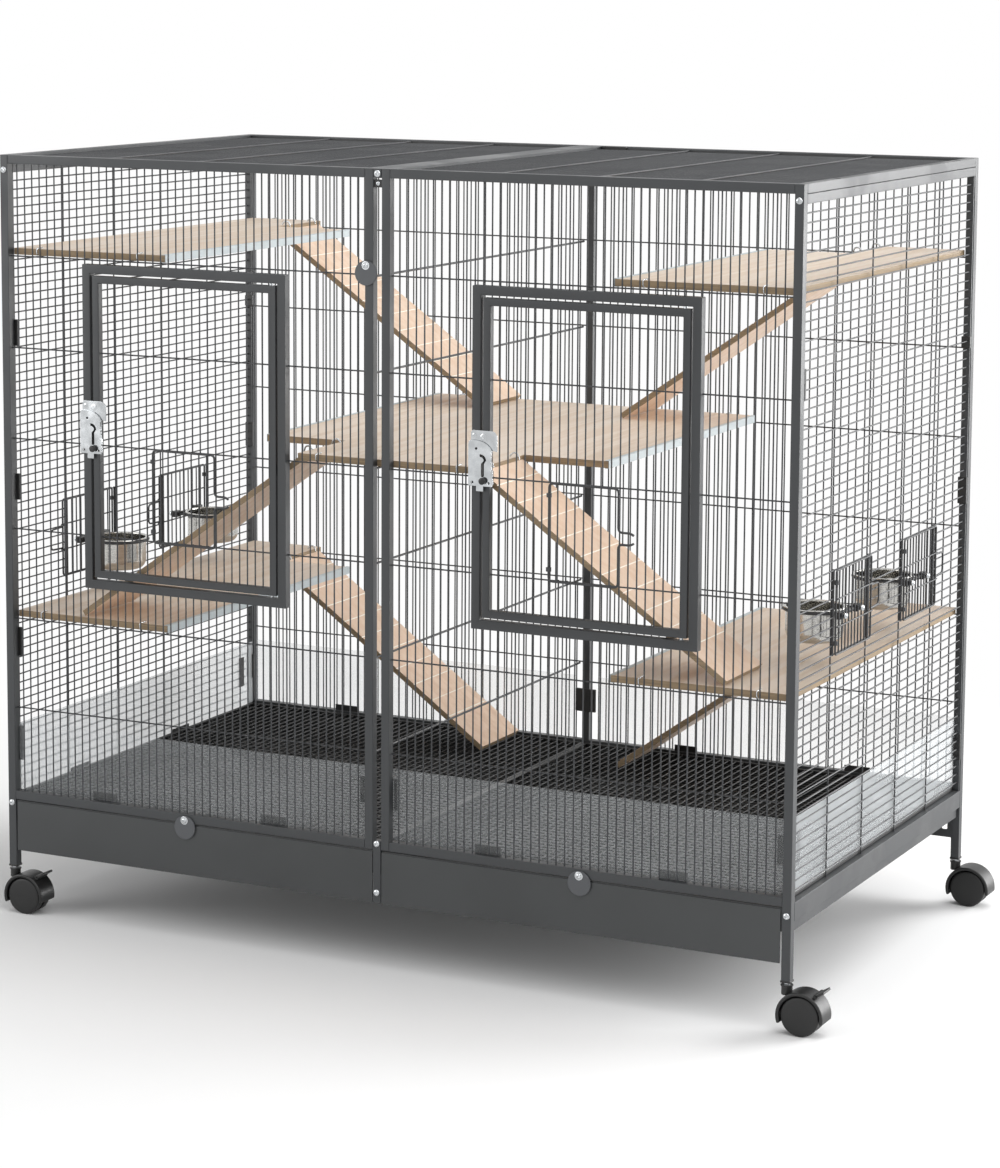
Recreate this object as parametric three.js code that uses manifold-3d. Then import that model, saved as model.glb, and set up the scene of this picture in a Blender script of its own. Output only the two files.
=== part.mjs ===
// Two-module wire cage on casters: welded wire panels, doors with hatches,
// swing-out feeders, pull-out trays, shelves and ramps.
// Millimetres. X runs to the right, Y to the back, Z up. Pieces are laid out
// from the left front corner of the frame at the lower end of its legs, and
// the finished group is moved onto the centre of its own footprint.
import * as THREE from 'three';
import { mergeVertices } from 'three/addons/utils/BufferGeometryUtils.js';
import Module from 'manifold-3d';

const wasm = await Module();
wasm.setup();

// ---- Driving dimensions: frame ----
const CAGE_WIDTH = 1150;
const CAGE_DEPTH = 650;
const FRAME_HEIGHT = 977;
const CASTER_HEIGHT = 63;
const TUBE = 12;
const CENTRE_WIDTH = 12;
const FIT = 0.3;
const STILE = 3;
const BOTTOM_RAIL_Z = 95;
const SIDE_RAIL_Z = 75;
const SIDE_RAIL_HEIGHT = 24;

// ---- Driving dimensions: welded wire ----
const WIRE = 2;
const WIRE_CORNER = 1.2;
const WIRE_SIDES = 3;
const WIRE_LAYER = 5;
const LAYER_STEP = 2.6;
const SINK = 1;
const FINE_SPACING = 11.85;
const COARSE_SPACING = 123.7;
const SIDE_CELL = 125.2;
const ROOF_COARSE_SPACING = 136;
const JAMB = 2.8;
const TIE_ROD = 3;

// ---- Driving dimensions: doors, hatches and latches ----
const DOOR_WIDTH = 281;
const DOOR_HEIGHT = 406;
const DOOR_Z = 415;
const DOOR_TUBE = 10;
const DOOR_GAP = 3;
const PIN_RADIUS = 2.5;
const PIN_DEPTH = 6;
const PIN_INSET = 9;
const SWING_WIRE = 3;
const SWING_STANDOFF = 1.2;
const EYE = 7;
const EYE_HEIGHT = 5;
const EYE_FROM_CORNER = 15;
const HATCH_BAYS = 8;
const HATCH_ROUND = 14;
const HANDLE_RADIUS = 10.5;
const LATCH_WIDTH = 38;
const LATCH_HEIGHT = 62;
const LATCH_Z = 578;
const LATCH_OVERLAP = 21;
const LATCH_SHEET = 1.6;
const LATCH_BACK_WIDTH = 20;
const LATCH_BACK_OVERLAP = 1;
const LATCH_BACK_HEIGHT = 69;
const LATCH_TRAVEL = 13;
const LATCH_KNOB = 4;
const KNOB_LENGTH = 6;

// ---- Driving dimensions: feeders ----
const FEEDER_LOW_ROW = 24;
const FEEDER_ROWS = 9;
const FEEDER_BARS = 10;
const FEEDER_RAILS = 2;
const BOWL_RADIUS = 37;
const BOWL_RIM = 41;
const BOWL_WALL = 1.5;
const BOWL_DEPTH = 44;
const BOWL_REACH = 50;
const BOWL_TOWARD_HINGE = 5;
const RING_CLEARANCE = 1.5;
const RING_WIRE = 3.5;
const RING_Z = 429;
const FEEDER_BOLT_SPACING = 73;
const FEEDER_KNOB = 5;
const FEEDER_KNOB_LENGTH = 4;

// ---- Driving dimensions: trays and floor ----
const TRAY_FLOOR_Z = 24;
const TRAY_WALL_TOP = 63.3;
const TRAY_SHEET = 1.5;
const TRAY_LIP = 5.7;
const TRAY_SIDE_INSET = 18.5;
const TRAY_CENTRE_INSET = 9.5;
const TRAY_REAR_GAP = 20;
const TRAY_FRONT_TOP = 92;
const TRAY_FRONT_DROP = 0.5;
const TRAY_FRONT_SIDE = 2;
const TRAY_FRONT_SET = 0.5;
const RUNNER_WEB = 2;
const RUNNER_INSET = 4;
const RUNNER_REACH = 14;
const RUNNER_Z = 61;
const GRILLE_BORDER = 5;
const GRILLE_START = 9.2;
const GRILLE_CROSS_SPACING = 125;
const GRILLE_WIRE_BELOW_TOP = 1.6;
const GRILLE_CROSS_ABOVE = 0.9;
const DISC_RADIUS = 16;
const DISC_SHEET = 2.4;
const DISC_PIVOT = 13;
const DISC_Z = 102;
const POST_DISC_BELOW_TOP = 120;
const POST_DISC_INSET = 9.4;

// ---- Driving dimensions: shelves, ramps and splash guards ----
const SHELF = 9;
const SIDE_SHELF_WIDTH = 238;
const MIDDLE_SHELF_X = 331;
const MIDDLE_SHELF_WIDTH = 504;
const NOTCH_LENGTH = 120;
const NOTCH_DEPTH = 128;
const SHELF_MARGIN = 0.6;
const TAB_WIDTH = 8;
const TAB = 3;
const TAB_INSET = 40;
const TAB_REACH = 6.4;
const RAMP_WIDTH = 118;
const RAMP_RUN = 348;
const RAMP = 8;
const RAMP_DROP = 5;
const HOOK_WIDTH = 8;
const HOOK = 2;
const HOOK_REACH = 8;
const HOOK_FROM_EDGE = 22;
const GUARD_HEIGHT = 95;
const GUARD_SHEET = 1.5;

// ---- Driving dimensions: casters ----
const WHEEL_RADIUS = 25;
const WHEEL_WIDTH = 18;
const WHEEL_BEVEL = 3;
const CASTER_TRAIL = 22;
const HOOD_RADIUS = 31;
const HOOD_WALL = 4.5;
const HOOD_WIDTH = 46;
const WEB = 5;
const AXLE_RADIUS = 3;
const AXLE_BOSS = 8;
const STEM_RADIUS = 4;
const STEM_DEPTH = 25;
const SOCKET_RADIUS = 7;
const SOCKET_LENGTH = 15;
const LEVER_ANGLE = 55;
const LEVER_TILT = 30;
const LEVER_LENGTH = 12;
const LEVER_WIDTH = 26;
const LEVER_ROOT = 3;

// ---- Worked-out sizes ----
const MODULE_WIDTH = (CAGE_WIDTH - CENTRE_WIDTH) / 2;
const RIGHT_MODULE_X = MODULE_WIDTH + CENTRE_WIDTH;
const CENTRE_X = CAGE_WIDTH / 2;
const PANEL_TOP = FRAME_HEIGHT - TUBE;
const FLOOR_TOP = SIDE_RAIL_Z + SIDE_RAIL_HEIGHT;
const COARSE_LAYER = WIRE_LAYER + LAYER_STEP;
const HATCH_HALF = HATCH_BAYS / 2;
const FULL_TURN = 2 * Math.PI;
const ROUND_SIDES = 16;
const SMALL_ROUND_SIDES = 8;
const CURVE_STEPS = 3;
const HOOD_STEPS = 5;
const WHEEL_SIDES = 12;
const TIE_ROD_SIDES = 5;
const EYE_SIDES = 6;
const BOWL_SIDES = 14;
const EYE_BORE = (SWING_WIRE * Math.SQRT1_2 + FIT) / Math.cos(Math.PI / EYE_SIDES);

// ---- Materials ----
const CHARCOAL = { color: 0x4a4c4e, roughness: 0.5, metalness: 0.2 };
const BLACK_METAL = { color: 0x1d1e20, roughness: 0.5, metalness: 0.3 };
const CHROME = { color: 0xd4d6d8, roughness: 0.18, metalness: 1 };
const STEEL = { color: 0xc9cbcc, roughness: 0.3, metalness: 1 };
const BLACK_PLASTIC = { color: 0x1b1b1c, roughness: 0.45, metalness: 0 };
const GREY_PLASTIC = { color: 0x55575a, roughness: 0.5, metalness: 0 };
const TRAY_METAL = { color: 0x424446, roughness: 0.45, metalness: 0.2 };
const WOOD = { color: 0xe0c9b1, roughness: 0.6, metalness: 0 };
const CLEAR = { color: 0xe8eef0, roughness: 0.1, metalness: 0, transparent: true, opacity: 0.3 };

// ---- Solids ----
function toSolid(geometry) {
  const bare = geometry.clone();
  bare.deleteAttribute('normal');
  bare.deleteAttribute('uv');
  const merged = mergeVertices(bare, 1e-4);
  return new wasm.Manifold(new wasm.Mesh({
    numProp: 3,
    vertProperties: new Float32Array(merged.attributes.position.array),
    triVerts: new Uint32Array(merged.index.array),
  }));
}

function join(solids) {
  return solids.reduce((whole, next) => whole.add(next));
}

function box(x0, x1, y0, y1, z0, z1) {
  const geometry = new THREE.BoxGeometry(x1 - x0, y1 - y0, z1 - z0);
  geometry.translate((x0 + x1) / 2, (y0 + y1) / 2, (z0 + z1) / 2);
  return toSolid(geometry);
}

// A straight rod along one axis; the other two places are given in X, Y, Z order.
function rod(axis, from, to, u, v, radius = WIRE_CORNER, sides = WIRE_SIDES) {
  const geometry = new THREE.CylinderGeometry(radius, radius, to - from, sides, 1);
  const middle = (from + to) / 2;
  if (axis === 'x') {
    geometry.rotateZ(Math.PI / 2);
    geometry.translate(middle, u, v);
  } else if (axis === 'y') {
    geometry.translate(u, middle, v);
  } else {
    geometry.rotateX(Math.PI / 2);
    geometry.translate(u, v, middle);
  }
  return toSolid(geometry);
}

// A flat outline drawn in X and Z and given its thickness along Y.
function sheetXZ(shape, y0, y1, steps = CURVE_STEPS) {
  const geometry = new THREE.ExtrudeGeometry(shape, {
    depth: y1 - y0,
    bevelEnabled: false,
    curveSegments: steps,
  });
  geometry.rotateX(Math.PI / 2);
  geometry.translate(0, y1, 0);
  return toSolid(geometry);
}

// A flat outline drawn in Y and Z and given its thickness along X.
function sheetYZ(shape, x0, x1, steps = CURVE_STEPS) {
  const geometry = new THREE.ExtrudeGeometry(shape, {
    depth: x1 - x0,
    bevelEnabled: false,
    curveSegments: steps,
  });
  geometry.rotateX(Math.PI / 2);
  geometry.rotateZ(Math.PI / 2);
  geometry.translate(x0, 0, 0);
  return toSolid(geometry);
}

function rectangle(x0, x1, z0, z1) {
  const shape = new THREE.Shape();
  shape.moveTo(x0, z0);
  shape.lineTo(x1, z0);
  shape.lineTo(x1, z1);
  shape.lineTo(x0, z1);
  shape.closePath();
  return shape;
}

// Inner positions of evenly spaced wires between two faces.
function spaced(from, to, spacing) {
  const bays = Math.max(1, Math.round((to - from) / spacing));
  const pitch = (to - from) / bays;
  return Array.from({ length: bays - 1 }, (_, i) => from + (i + 1) * pitch);
}

function coarseRows() {
  const rows = [];
  for (let z = PANEL_TOP - COARSE_SPACING; z > BOTTOM_RAIL_Z + COARSE_SPACING / 2; z -= COARSE_SPACING) {
    rows.push(z);
  }
  return rows;
}

const ROWS = coarseRows();

// Distance in from the front face, or from the rear face on a rear panel.
function depthAt(distance, atRear) {
  return atRear ? CAGE_DEPTH - distance : distance;
}

function slab(x0, x1, near, far, z0, z1, atRear) {
  const edges = [depthAt(near, atRear), depthAt(far, atRear)];
  return box(x0, x1, Math.min(...edges), Math.max(...edges), z0, z1);
}

// ---- Front and rear panels ----
function doorPlace(moduleX) {
  const left = moduleX + (MODULE_WIDTH - DOOR_WIDTH) / 2;
  return {
    left,
    right: left + DOOR_WIDTH,
    low: DOOR_Z,
    high: DOOR_Z + DOOR_HEIGHT,
    pinX: left + DOOR_WIDTH - PIN_INSET,
    pinY: TUBE / 2,
  };
}

function doorSurround(moduleX) {
  const door = doorPlace(moduleX);
  const reach = DOOR_GAP + TUBE;
  const outer = {
    x0: door.left - reach,
    x1: door.right + reach,
    z0: door.low - reach,
    z1: door.high + reach,
  };
  const opening = box(
    door.left - DOOR_GAP, door.right + DOOR_GAP, -TUBE, 2 * TUBE,
    door.low - DOOR_GAP, door.high + DOOR_GAP,
  );
  const sockets = rod(
    'z', door.low - DOOR_GAP - PIN_DEPTH - FIT, door.high + DOOR_GAP + PIN_DEPTH + FIT,
    door.pinX, door.pinY, PIN_RADIUS + FIT, SMALL_ROUND_SIDES,
  );
  const ring = box(outer.x0, outer.x1, 0, TUBE, outer.z0, outer.z1);
  return { outer, solid: ring.subtract(opening).subtract(sockets) };
}

function stemSocket(legX, legY) {
  return rod('z', -TUBE, STEM_DEPTH + FIT, legX, legY, STEM_RADIUS + FIT, SMALL_ROUND_SIDES);
}

function endPanel(moduleX, legOnLeft, atRear) {
  const right = moduleX + MODULE_WIDTH;
  const footLeft = legOnLeft ? 0 : BOTTOM_RAIL_Z;
  const footRight = legOnLeft ? BOTTOM_RAIL_Z : 0;
  const solids = [
    slab(moduleX, moduleX + TUBE, 0, TUBE, footLeft, FRAME_HEIGHT, atRear),
    slab(right - TUBE, right, 0, TUBE, footRight, FRAME_HEIGHT, atRear),
    slab(moduleX, right, 0, TUBE, PANEL_TOP, FRAME_HEIGHT, atRear),
    slab(moduleX, right, 0, TUBE, BOTTOM_RAIL_Z, BOTTOM_RAIL_Z + TUBE, atRear),
  ];
  const surround = atRear ? null : doorSurround(moduleX);
  if (surround) {
    solids.push(surround.solid);
  }
  const low = BOTTOM_RAIL_Z + TUBE;
  for (const x of spaced(moduleX + TUBE, right - TUBE, FINE_SPACING)) {
    const cut = surround && x > surround.outer.x0 && x < surround.outer.x1;
    const spans = cut
      ? [[low, surround.outer.z0], [surround.outer.z1, PANEL_TOP]]
      : [[low, PANEL_TOP]];
    for (const [from, to] of spans) {
      solids.push(rod('z', from - SINK, to + SINK, x, depthAt(WIRE_LAYER, atRear)));
    }
  }
  for (const z of ROWS) {
    const cut = surround && z > surround.outer.z0 && z < surround.outer.z1;
    const spans = cut
      ? [[moduleX + TUBE, surround.outer.x0], [surround.outer.x1, right - TUBE]]
      : [[moduleX + TUBE, right - TUBE]];
    for (const [from, to] of spans) {
      solids.push(rod('x', from - SINK, to + SINK, depthAt(COARSE_LAYER, atRear), z));
    }
  }
  const legX = legOnLeft ? moduleX + TUBE / 2 : right - TUBE / 2;
  return join(solids).subtract(stemSocket(legX, depthAt(TUBE / 2, atRear)));
}

// Rods from the rear middle post to the front one, level with the coarse wires.
function tieRods() {
  const x = MODULE_WIDTH - TUBE / 2;
  const from = TUBE + FIT;
  const to = CAGE_DEPTH - TUBE + SINK;
  return ROWS.map((z) => rod('y', from, to, x, z - TIE_ROD, TIE_ROD / 2, TIE_ROD_SIDES));
}

// ---- Doors and hatches ----
function hatchPlace(moduleX) {
  const door = doorPlace(moduleX);
  const bars = spaced(door.left + DOOR_TUBE, door.right - DOOR_TUBE, FINE_SPACING);
  const pitch = bars[1] - bars[0];
  const middle = (door.left + door.right) / 2;
  const inside = ROWS.filter((z) => z > door.low && z < door.high);
  return {
    left: middle - HATCH_HALF * pitch,
    right: middle + HATCH_HALF * pitch,
    low: inside[2],
    high: inside[1],
    pitch,
  };
}

// A block with a bore for an upright hinge wire, open to the wire that carries it.
function hingeEye(x, y, z, towardX, towardY) {
  const half = EYE / 2;
  const back = WIRE_LAYER - SWING_STANDOFF;
  const block = box(
    Math.min(x - half, x + towardX * back), Math.max(x + half, x + towardX * back),
    Math.min(y - half, y + towardY * back), Math.max(y + half, y + towardY * back),
    z - EYE_HEIGHT / 2, z + EYE_HEIGHT / 2,
  );
  const bore = rod('z', z - EYE_HEIGHT, z + EYE_HEIGHT, x, y, EYE_BORE, EYE_SIDES);
  return block.subtract(bore);
}

function door(moduleX) {
  const place = doorPlace(moduleX);
  const hatch = hatchPlace(moduleX);
  const front = (TUBE - DOOR_TUBE) / 2;
  const back = front + DOOR_TUBE;
  const leaf = box(place.left, place.right, front, back, place.low, place.high);
  const inside = box(
    place.left + DOOR_TUBE, place.right - DOOR_TUBE, -TUBE, 2 * TUBE,
    place.low + DOOR_TUBE, place.high - DOOR_TUBE,
  );
  const low = place.low + DOOR_TUBE;
  const high = place.high - DOOR_TUBE;
  const solids = [leaf.subtract(inside)];
  for (const x of spaced(place.left + DOOR_TUBE, place.right - DOOR_TUBE, FINE_SPACING)) {
    const cut = x > hatch.left + WIRE && x < hatch.right - WIRE;
    const spans = cut
      ? [[low, hatch.low - SINK], [hatch.high + SINK, high]]
      : [[low, high]];
    for (const [from, to] of spans) {
      solids.push(rod('z', from - SINK, to + SINK, x, WIRE_LAYER));
    }
  }
  for (const z of ROWS.filter((row) => row > low && row < high)) {
    solids.push(rod(
      'x', place.left + DOOR_TUBE - SINK, place.right - DOOR_TUBE + SINK, COARSE_LAYER, z,
    ));
  }
  for (const z of [hatch.low + EYE_FROM_CORNER, hatch.high - EYE_FROM_CORNER]) {
    solids.push(hingeEye(hatch.left, SWING_STANDOFF, z, 0, 1));
  }
  const pin = PIN_DEPTH + DOOR_GAP;
  const pins = [[place.low - pin, place.low + SINK], [place.high - SINK, place.high + pin]];
  for (const [from, to] of pins) {
    solids.push(rod('z', from, to, place.pinX, place.pinY, PIN_RADIUS, SMALL_ROUND_SIDES));
  }
  return join(solids);
}

// Wire frame of a hatch: square corners at the hinge, round ones at the handle.
function roundedFrame(left, right, low, high, round) {
  const shape = new THREE.Shape();
  shape.moveTo(left, low);
  shape.lineTo(right - round, low);
  shape.absarc(right - round, low + round, round, -Math.PI / 2, 0, false);
  shape.lineTo(right, high - round);
  shape.absarc(right - round, high - round, round, 0, Math.PI / 2, false);
  shape.lineTo(left, high);
  shape.closePath();
  return shape;
}

function handleLoop(centre, edge, radius, wire, side) {
  const shape = new THREE.Shape();
  const inner = radius - wire;
  const start = -Math.PI / 2;
  shape.moveTo(edge, centre - radius);
  shape.absarc(edge, centre, radius, start, -start, side < 0);
  shape.lineTo(edge, centre + inner);
  shape.absarc(edge, centre, inner, -start, start, side > 0);
  shape.closePath();
  return shape;
}

function hatch(moduleX) {
  const place = hatchPlace(moduleX);
  const half = SWING_WIRE / 2;
  const front = SWING_STANDOFF - half;
  const back = SWING_STANDOFF + half;
  const frame = roundedFrame(
    place.left - half, place.right + half, place.low - half, place.high + half, HATCH_ROUND,
  );
  frame.holes.push(roundedFrame(
    place.left + half, place.right - half, place.low + half, place.high - half,
    HATCH_ROUND - SWING_WIRE,
  ));
  const middle = (place.low + place.high) / 2;
  const solids = [
    sheetXZ(frame, front, back),
    sheetXZ(handleLoop(middle, place.right, HANDLE_RADIUS, SWING_WIRE, 1), front, back),
  ];
  for (let i = 1; i < HATCH_BAYS; i += 1) {
    solids.push(rod('z', place.low, place.high, place.left + i * place.pitch, SWING_STANDOFF));
  }
  return join(solids);
}

// ---- Latches ----
function latchPlace(moduleX) {
  const door = doorPlace(moduleX);
  const left = door.left - LATCH_OVERLAP;
  return { left, right: left + LATCH_WIDTH, doorLeft: door.left, middle: left + LATCH_WIDTH / 2 };
}

function latchPlate(moduleX) {
  const place = latchPlace(moduleX);
  const face = (TUBE - DOOR_TUBE) / 2 - FIT;
  const round = LATCH_BACK_WIDTH / 2;
  const left = place.doorLeft - LATCH_BACK_OVERLAP;
  const shape = new THREE.Shape();
  shape.moveTo(left, LATCH_Z + SWING_WIRE);
  shape.lineTo(left + LATCH_BACK_WIDTH, LATCH_Z + SWING_WIRE);
  shape.lineTo(left + LATCH_BACK_WIDTH, LATCH_Z + LATCH_BACK_HEIGHT - round);
  shape.absarc(left + round, LATCH_Z + LATCH_BACK_HEIGHT - round, round, 0, Math.PI, false);
  shape.closePath();
  return sheetXZ(shape, face - LATCH_SHEET, face, ROUND_SIDES / 2);
}

function latchSlide(moduleX) {
  const place = latchPlace(moduleX);
  const back = (TUBE - DOOR_TUBE) / 2 - LATCH_SHEET - 2 * FIT;
  const front = back - LATCH_SHEET;
  const high = LATCH_Z + LATCH_HEIGHT;
  const shoulder = LATCH_WIDTH / 4;
  const tongue = LATCH_WIDTH / 5;
  const shape = new THREE.Shape();
  shape.moveTo(place.middle - tongue, LATCH_Z - LATCH_SHEET * 2);
  shape.lineTo(place.middle + tongue, LATCH_Z - LATCH_SHEET * 2);
  shape.lineTo(place.middle + tongue, LATCH_Z);
  shape.lineTo(place.right, LATCH_Z);
  shape.lineTo(place.right, high - shoulder);
  shape.quadraticCurveTo(place.right, high, place.middle, high);
  shape.quadraticCurveTo(place.left, high, place.left, high - shoulder);
  shape.lineTo(place.left, LATCH_Z);
  shape.lineTo(place.middle - tongue, LATCH_Z);
  shape.closePath();
  const slot = rectangle(
    place.middle - LATCH_KNOB / 2, place.middle + LATCH_KNOB / 2,
    LATCH_Z + LATCH_TRAVEL, LATCH_Z + 2 * LATCH_TRAVEL,
  );
  shape.holes.push(slot);
  const knobZ = LATCH_Z + LATCH_TRAVEL - LATCH_KNOB;
  const knob = rod(
    'y', front - KNOB_LENGTH, back - SINK / 2, place.middle, knobZ - LATCH_KNOB / 2,
    LATCH_KNOB, SMALL_ROUND_SIDES,
  );
  return sheetXZ(shape, front, back, CURVE_STEPS).add(knob);
}

// ---- Side panels: built at the left, turned half round for the right ----
function sideRows() {
  return spaced(FLOOR_TOP, PANEL_TOP - TUBE, FINE_SPACING);
}

function sideColumns() {
  const middle = CAGE_DEPTH / 2;
  return [-1.5, -0.5, 0.5, 1.5].map((cell) => middle + cell * SIDE_CELL);
}

function feederPlaces() {
  const rows = sideRows();
  const columns = sideColumns();
  const low = rows[FEEDER_LOW_ROW - 1];
  const high = rows[FEEDER_LOW_ROW + FEEDER_ROWS - 1];
  return [0, 2].map((i) => ({ near: columns[i], far: columns[i + 1], low, high }));
}

function sidePanel() {
  const near = TUBE + FIT;
  const far = CAGE_DEPTH - near;
  const top = PANEL_TOP - FIT;
  const strip = (TUBE - DOOR_TUBE) / 2;
  const solids = [
    box(0, TUBE, near, far, top - TUBE, top),
    box(0, TUBE, near, far, SIDE_RAIL_Z, FLOOR_TOP),
    box(strip, TUBE - strip, near, near + STILE, SIDE_RAIL_Z, top),
    box(strip, TUBE - strip, far - STILE, far, SIDE_RAIL_Z, top),
    box(RUNNER_INSET, RUNNER_INSET + RUNNER_WEB, near, far, RUNNER_Z, SIDE_RAIL_Z),
    box(RUNNER_INSET, RUNNER_INSET + RUNNER_REACH, near, far, RUNNER_Z, RUNNER_Z + RUNNER_WEB),
  ];
  const places = feederPlaces();
  for (const z of sideRows()) {
    const cut = z > places[0].low + WIRE && z < places[0].high - WIRE;
    const stops = cut
      ? [near + STILE, ...places.flatMap((place) => [place.near, place.far]), far - STILE]
      : [near + STILE, far - STILE];
    for (let i = 0; i < stops.length; i += 2) {
      const from = i === 0 ? stops[i] - SINK : stops[i];
      const to = i === stops.length - 2 ? stops[i + 1] + SINK : stops[i + 1];
      solids.push(rod('y', from, to, WIRE_LAYER, z));
    }
  }
  for (const y of sideColumns()) {
    solids.push(rod('z', FLOOR_TOP - SINK, top - TUBE + SINK, COARSE_LAYER, y));
  }
  for (const place of places) {
    for (const y of [place.near, place.far]) {
      solids.push(box(
        WIRE_LAYER - JAMB / 2, WIRE_LAYER + JAMB / 2, y - JAMB / 2, y + JAMB / 2,
        place.low - JAMB / 2, place.high + JAMB / 2,
      ));
    }
    for (const z of [place.low + EYE_FROM_CORNER, place.high - EYE_FROM_CORNER]) {
      solids.push(hingeEye(SWING_STANDOFF, place.far, z, 1, 0));
    }
  }
  return join(solids);
}

// ---- Feeders: a swinging wire door that carries a bowl in a ring ----
function ringOutline(centreX, centreY, outer, inner) {
  const shape = new THREE.Shape();
  shape.absarc(centreX, centreY, outer, 0, FULL_TURN, false);
  const hole = new THREE.Path();
  hole.absarc(centreX, centreY, inner, 0, FULL_TURN, true);
  shape.holes.push(hole);
  return shape;
}

function bowlPlace(place) {
  return (place.near + place.far) / 2 + BOWL_TOWARD_HINGE;
}

function feederDoor(place) {
  const half = SWING_WIRE / 2;
  const front = SWING_STANDOFF - half;
  const back = SWING_STANDOFF + half;
  const middle = bowlPlace(place);
  const frame = rectangle(place.near - half, place.far + half, place.low - half, place.high + half);
  frame.holes.push(rectangle(
    place.near + half, place.far - half, place.low + half, place.high - half,
  ));
  const handle = handleLoop(
    (place.low + place.high) / 2, place.near, 2 * HANDLE_RADIUS - SWING_WIRE, SWING_WIRE, -1,
  );
  const solids = [sheetYZ(frame, front, back), sheetYZ(handle, front, back)];
  const spacing = (place.far - place.near) / (FEEDER_BARS + 1);
  for (let i = 1; i <= FEEDER_BARS; i += 1) {
    solids.push(rod('z', place.low, place.high, SWING_STANDOFF, place.near + i * spacing));
  }
  const rise = (place.high - place.low) / (FEEDER_RAILS + 1);
  for (let i = 1; i <= FEEDER_RAILS; i += 1) {
    solids.push(rod('y', place.near, place.far, front - WIRE / 2 + FIT, place.low + i * rise));
  }
  const ringX = SWING_STANDOFF + BOWL_REACH;
  const inner = BOWL_RADIUS + RING_CLEARANCE;
  const outer = inner + RING_WIRE;
  const ring = new THREE.ExtrudeGeometry(
    ringOutline(ringX, middle, outer, inner),
    { depth: RING_WIRE, bevelEnabled: false, curveSegments: SMALL_ROUND_SIDES },
  );
  ring.translate(0, 0, RING_Z - RING_WIRE / 2);
  solids.push(toSolid(ring));
  const bolt = FEEDER_BOLT_SPACING / 2;
  const seat = (inner + outer) / 2;
  const armEnd = ringX - Math.sqrt(Math.max(0, seat * seat - bolt * bolt));
  for (const y of [middle - bolt, middle + bolt]) {
    solids.push(box(
      front, armEnd, y - RING_WIRE / 2, y + RING_WIRE / 2,
      RING_Z - RING_WIRE / 2, RING_Z + RING_WIRE / 2,
    ));
    solids.push(rod(
      'x', front - FEEDER_KNOB_LENGTH, front + SINK, y, RING_Z, FEEDER_KNOB, SMALL_ROUND_SIDES,
    ));
  }
  return join(solids);
}

function feederBowl(place) {
  const rim = RING_Z + RING_WIRE / 2 + FIT;
  const low = rim + BOWL_WALL - BOWL_DEPTH;
  const foot = BOWL_RADIUS - BOWL_DEPTH / 5;
  const profile = [
    [0, low], [foot, low], [BOWL_RADIUS, low + BOWL_DEPTH / 4], [BOWL_RADIUS, rim],
    [BOWL_RIM, rim], [BOWL_RIM, rim + BOWL_WALL], [BOWL_RADIUS - BOWL_WALL, rim + BOWL_WALL],
    [BOWL_RADIUS - BOWL_WALL, low + BOWL_DEPTH / 4 + BOWL_WALL],
    [foot - BOWL_WALL, low + BOWL_WALL], [0, low + BOWL_WALL],
  ].map(([radius, z]) => new THREE.Vector2(radius, z));
  const geometry = new THREE.LatheGeometry(profile, BOWL_SIDES);
  geometry.rotateX(Math.PI / 2);
  geometry.translate(SWING_STANDOFF + BOWL_REACH, bowlPlace(place), 0);
  return toSolid(geometry);
}

// ---- Roof, centre frame, floor grilles and trays ----
function roofPanel(moduleX) {
  const near = TUBE + FIT;
  const far = CAGE_DEPTH - near;
  const right = moduleX + MODULE_WIDTH;
  const strip = (TUBE - DOOR_TUBE) / 2;
  const fineZ = PANEL_TOP + COARSE_LAYER;
  const coarseZ = PANEL_TOP + WIRE_LAYER;
  const solids = [
    box(moduleX, moduleX + TUBE, near, far, PANEL_TOP, FRAME_HEIGHT),
    box(right - TUBE, right, near, far, PANEL_TOP, FRAME_HEIGHT),
    box(moduleX, right, near, near + STILE, PANEL_TOP + strip, FRAME_HEIGHT - strip),
    box(moduleX, right, far - STILE, far, PANEL_TOP + strip, FRAME_HEIGHT - strip),
  ];
  for (const y of spaced(near + STILE, far - STILE, FINE_SPACING)) {
    solids.push(rod('x', moduleX + TUBE - SINK, right - TUBE + SINK, y, fineZ));
  }
  for (const x of spaced(moduleX + TUBE, right - TUBE, ROOF_COARSE_SPACING)) {
    solids.push(rod('y', near + STILE - SINK, far - STILE + SINK, x, coarseZ));
  }
  return join(solids);
}

function centreRail() {
  return box(MODULE_WIDTH + FIT, RIGHT_MODULE_X - FIT, 0, CAGE_DEPTH, PANEL_TOP, FRAME_HEIGHT);
}

function centreBeam() {
  const left = MODULE_WIDTH + FIT;
  const right = RIGHT_MODULE_X - FIT;
  const near = TUBE + FIT;
  const web = RUNNER_WEB / 2;
  return join([
    box(left, right, 0, CAGE_DEPTH, SIDE_RAIL_Z, FLOOR_TOP),
    box(left, right, 0, TUBE, TRAY_FLOOR_Z, BOTTOM_RAIL_Z + TUBE),
    box(left, right, CAGE_DEPTH - TUBE, CAGE_DEPTH, TRAY_FLOOR_Z, BOTTOM_RAIL_Z + TUBE),
    box(CENTRE_X - web, CENTRE_X + web, near, CAGE_DEPTH - near, RUNNER_Z, SIDE_RAIL_Z),
    box(
      CENTRE_X - web - RUNNER_REACH, CENTRE_X + web + RUNNER_REACH,
      near, CAGE_DEPTH - near, RUNNER_Z, RUNNER_Z + RUNNER_WEB,
    ),
  ]);
}

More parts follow.
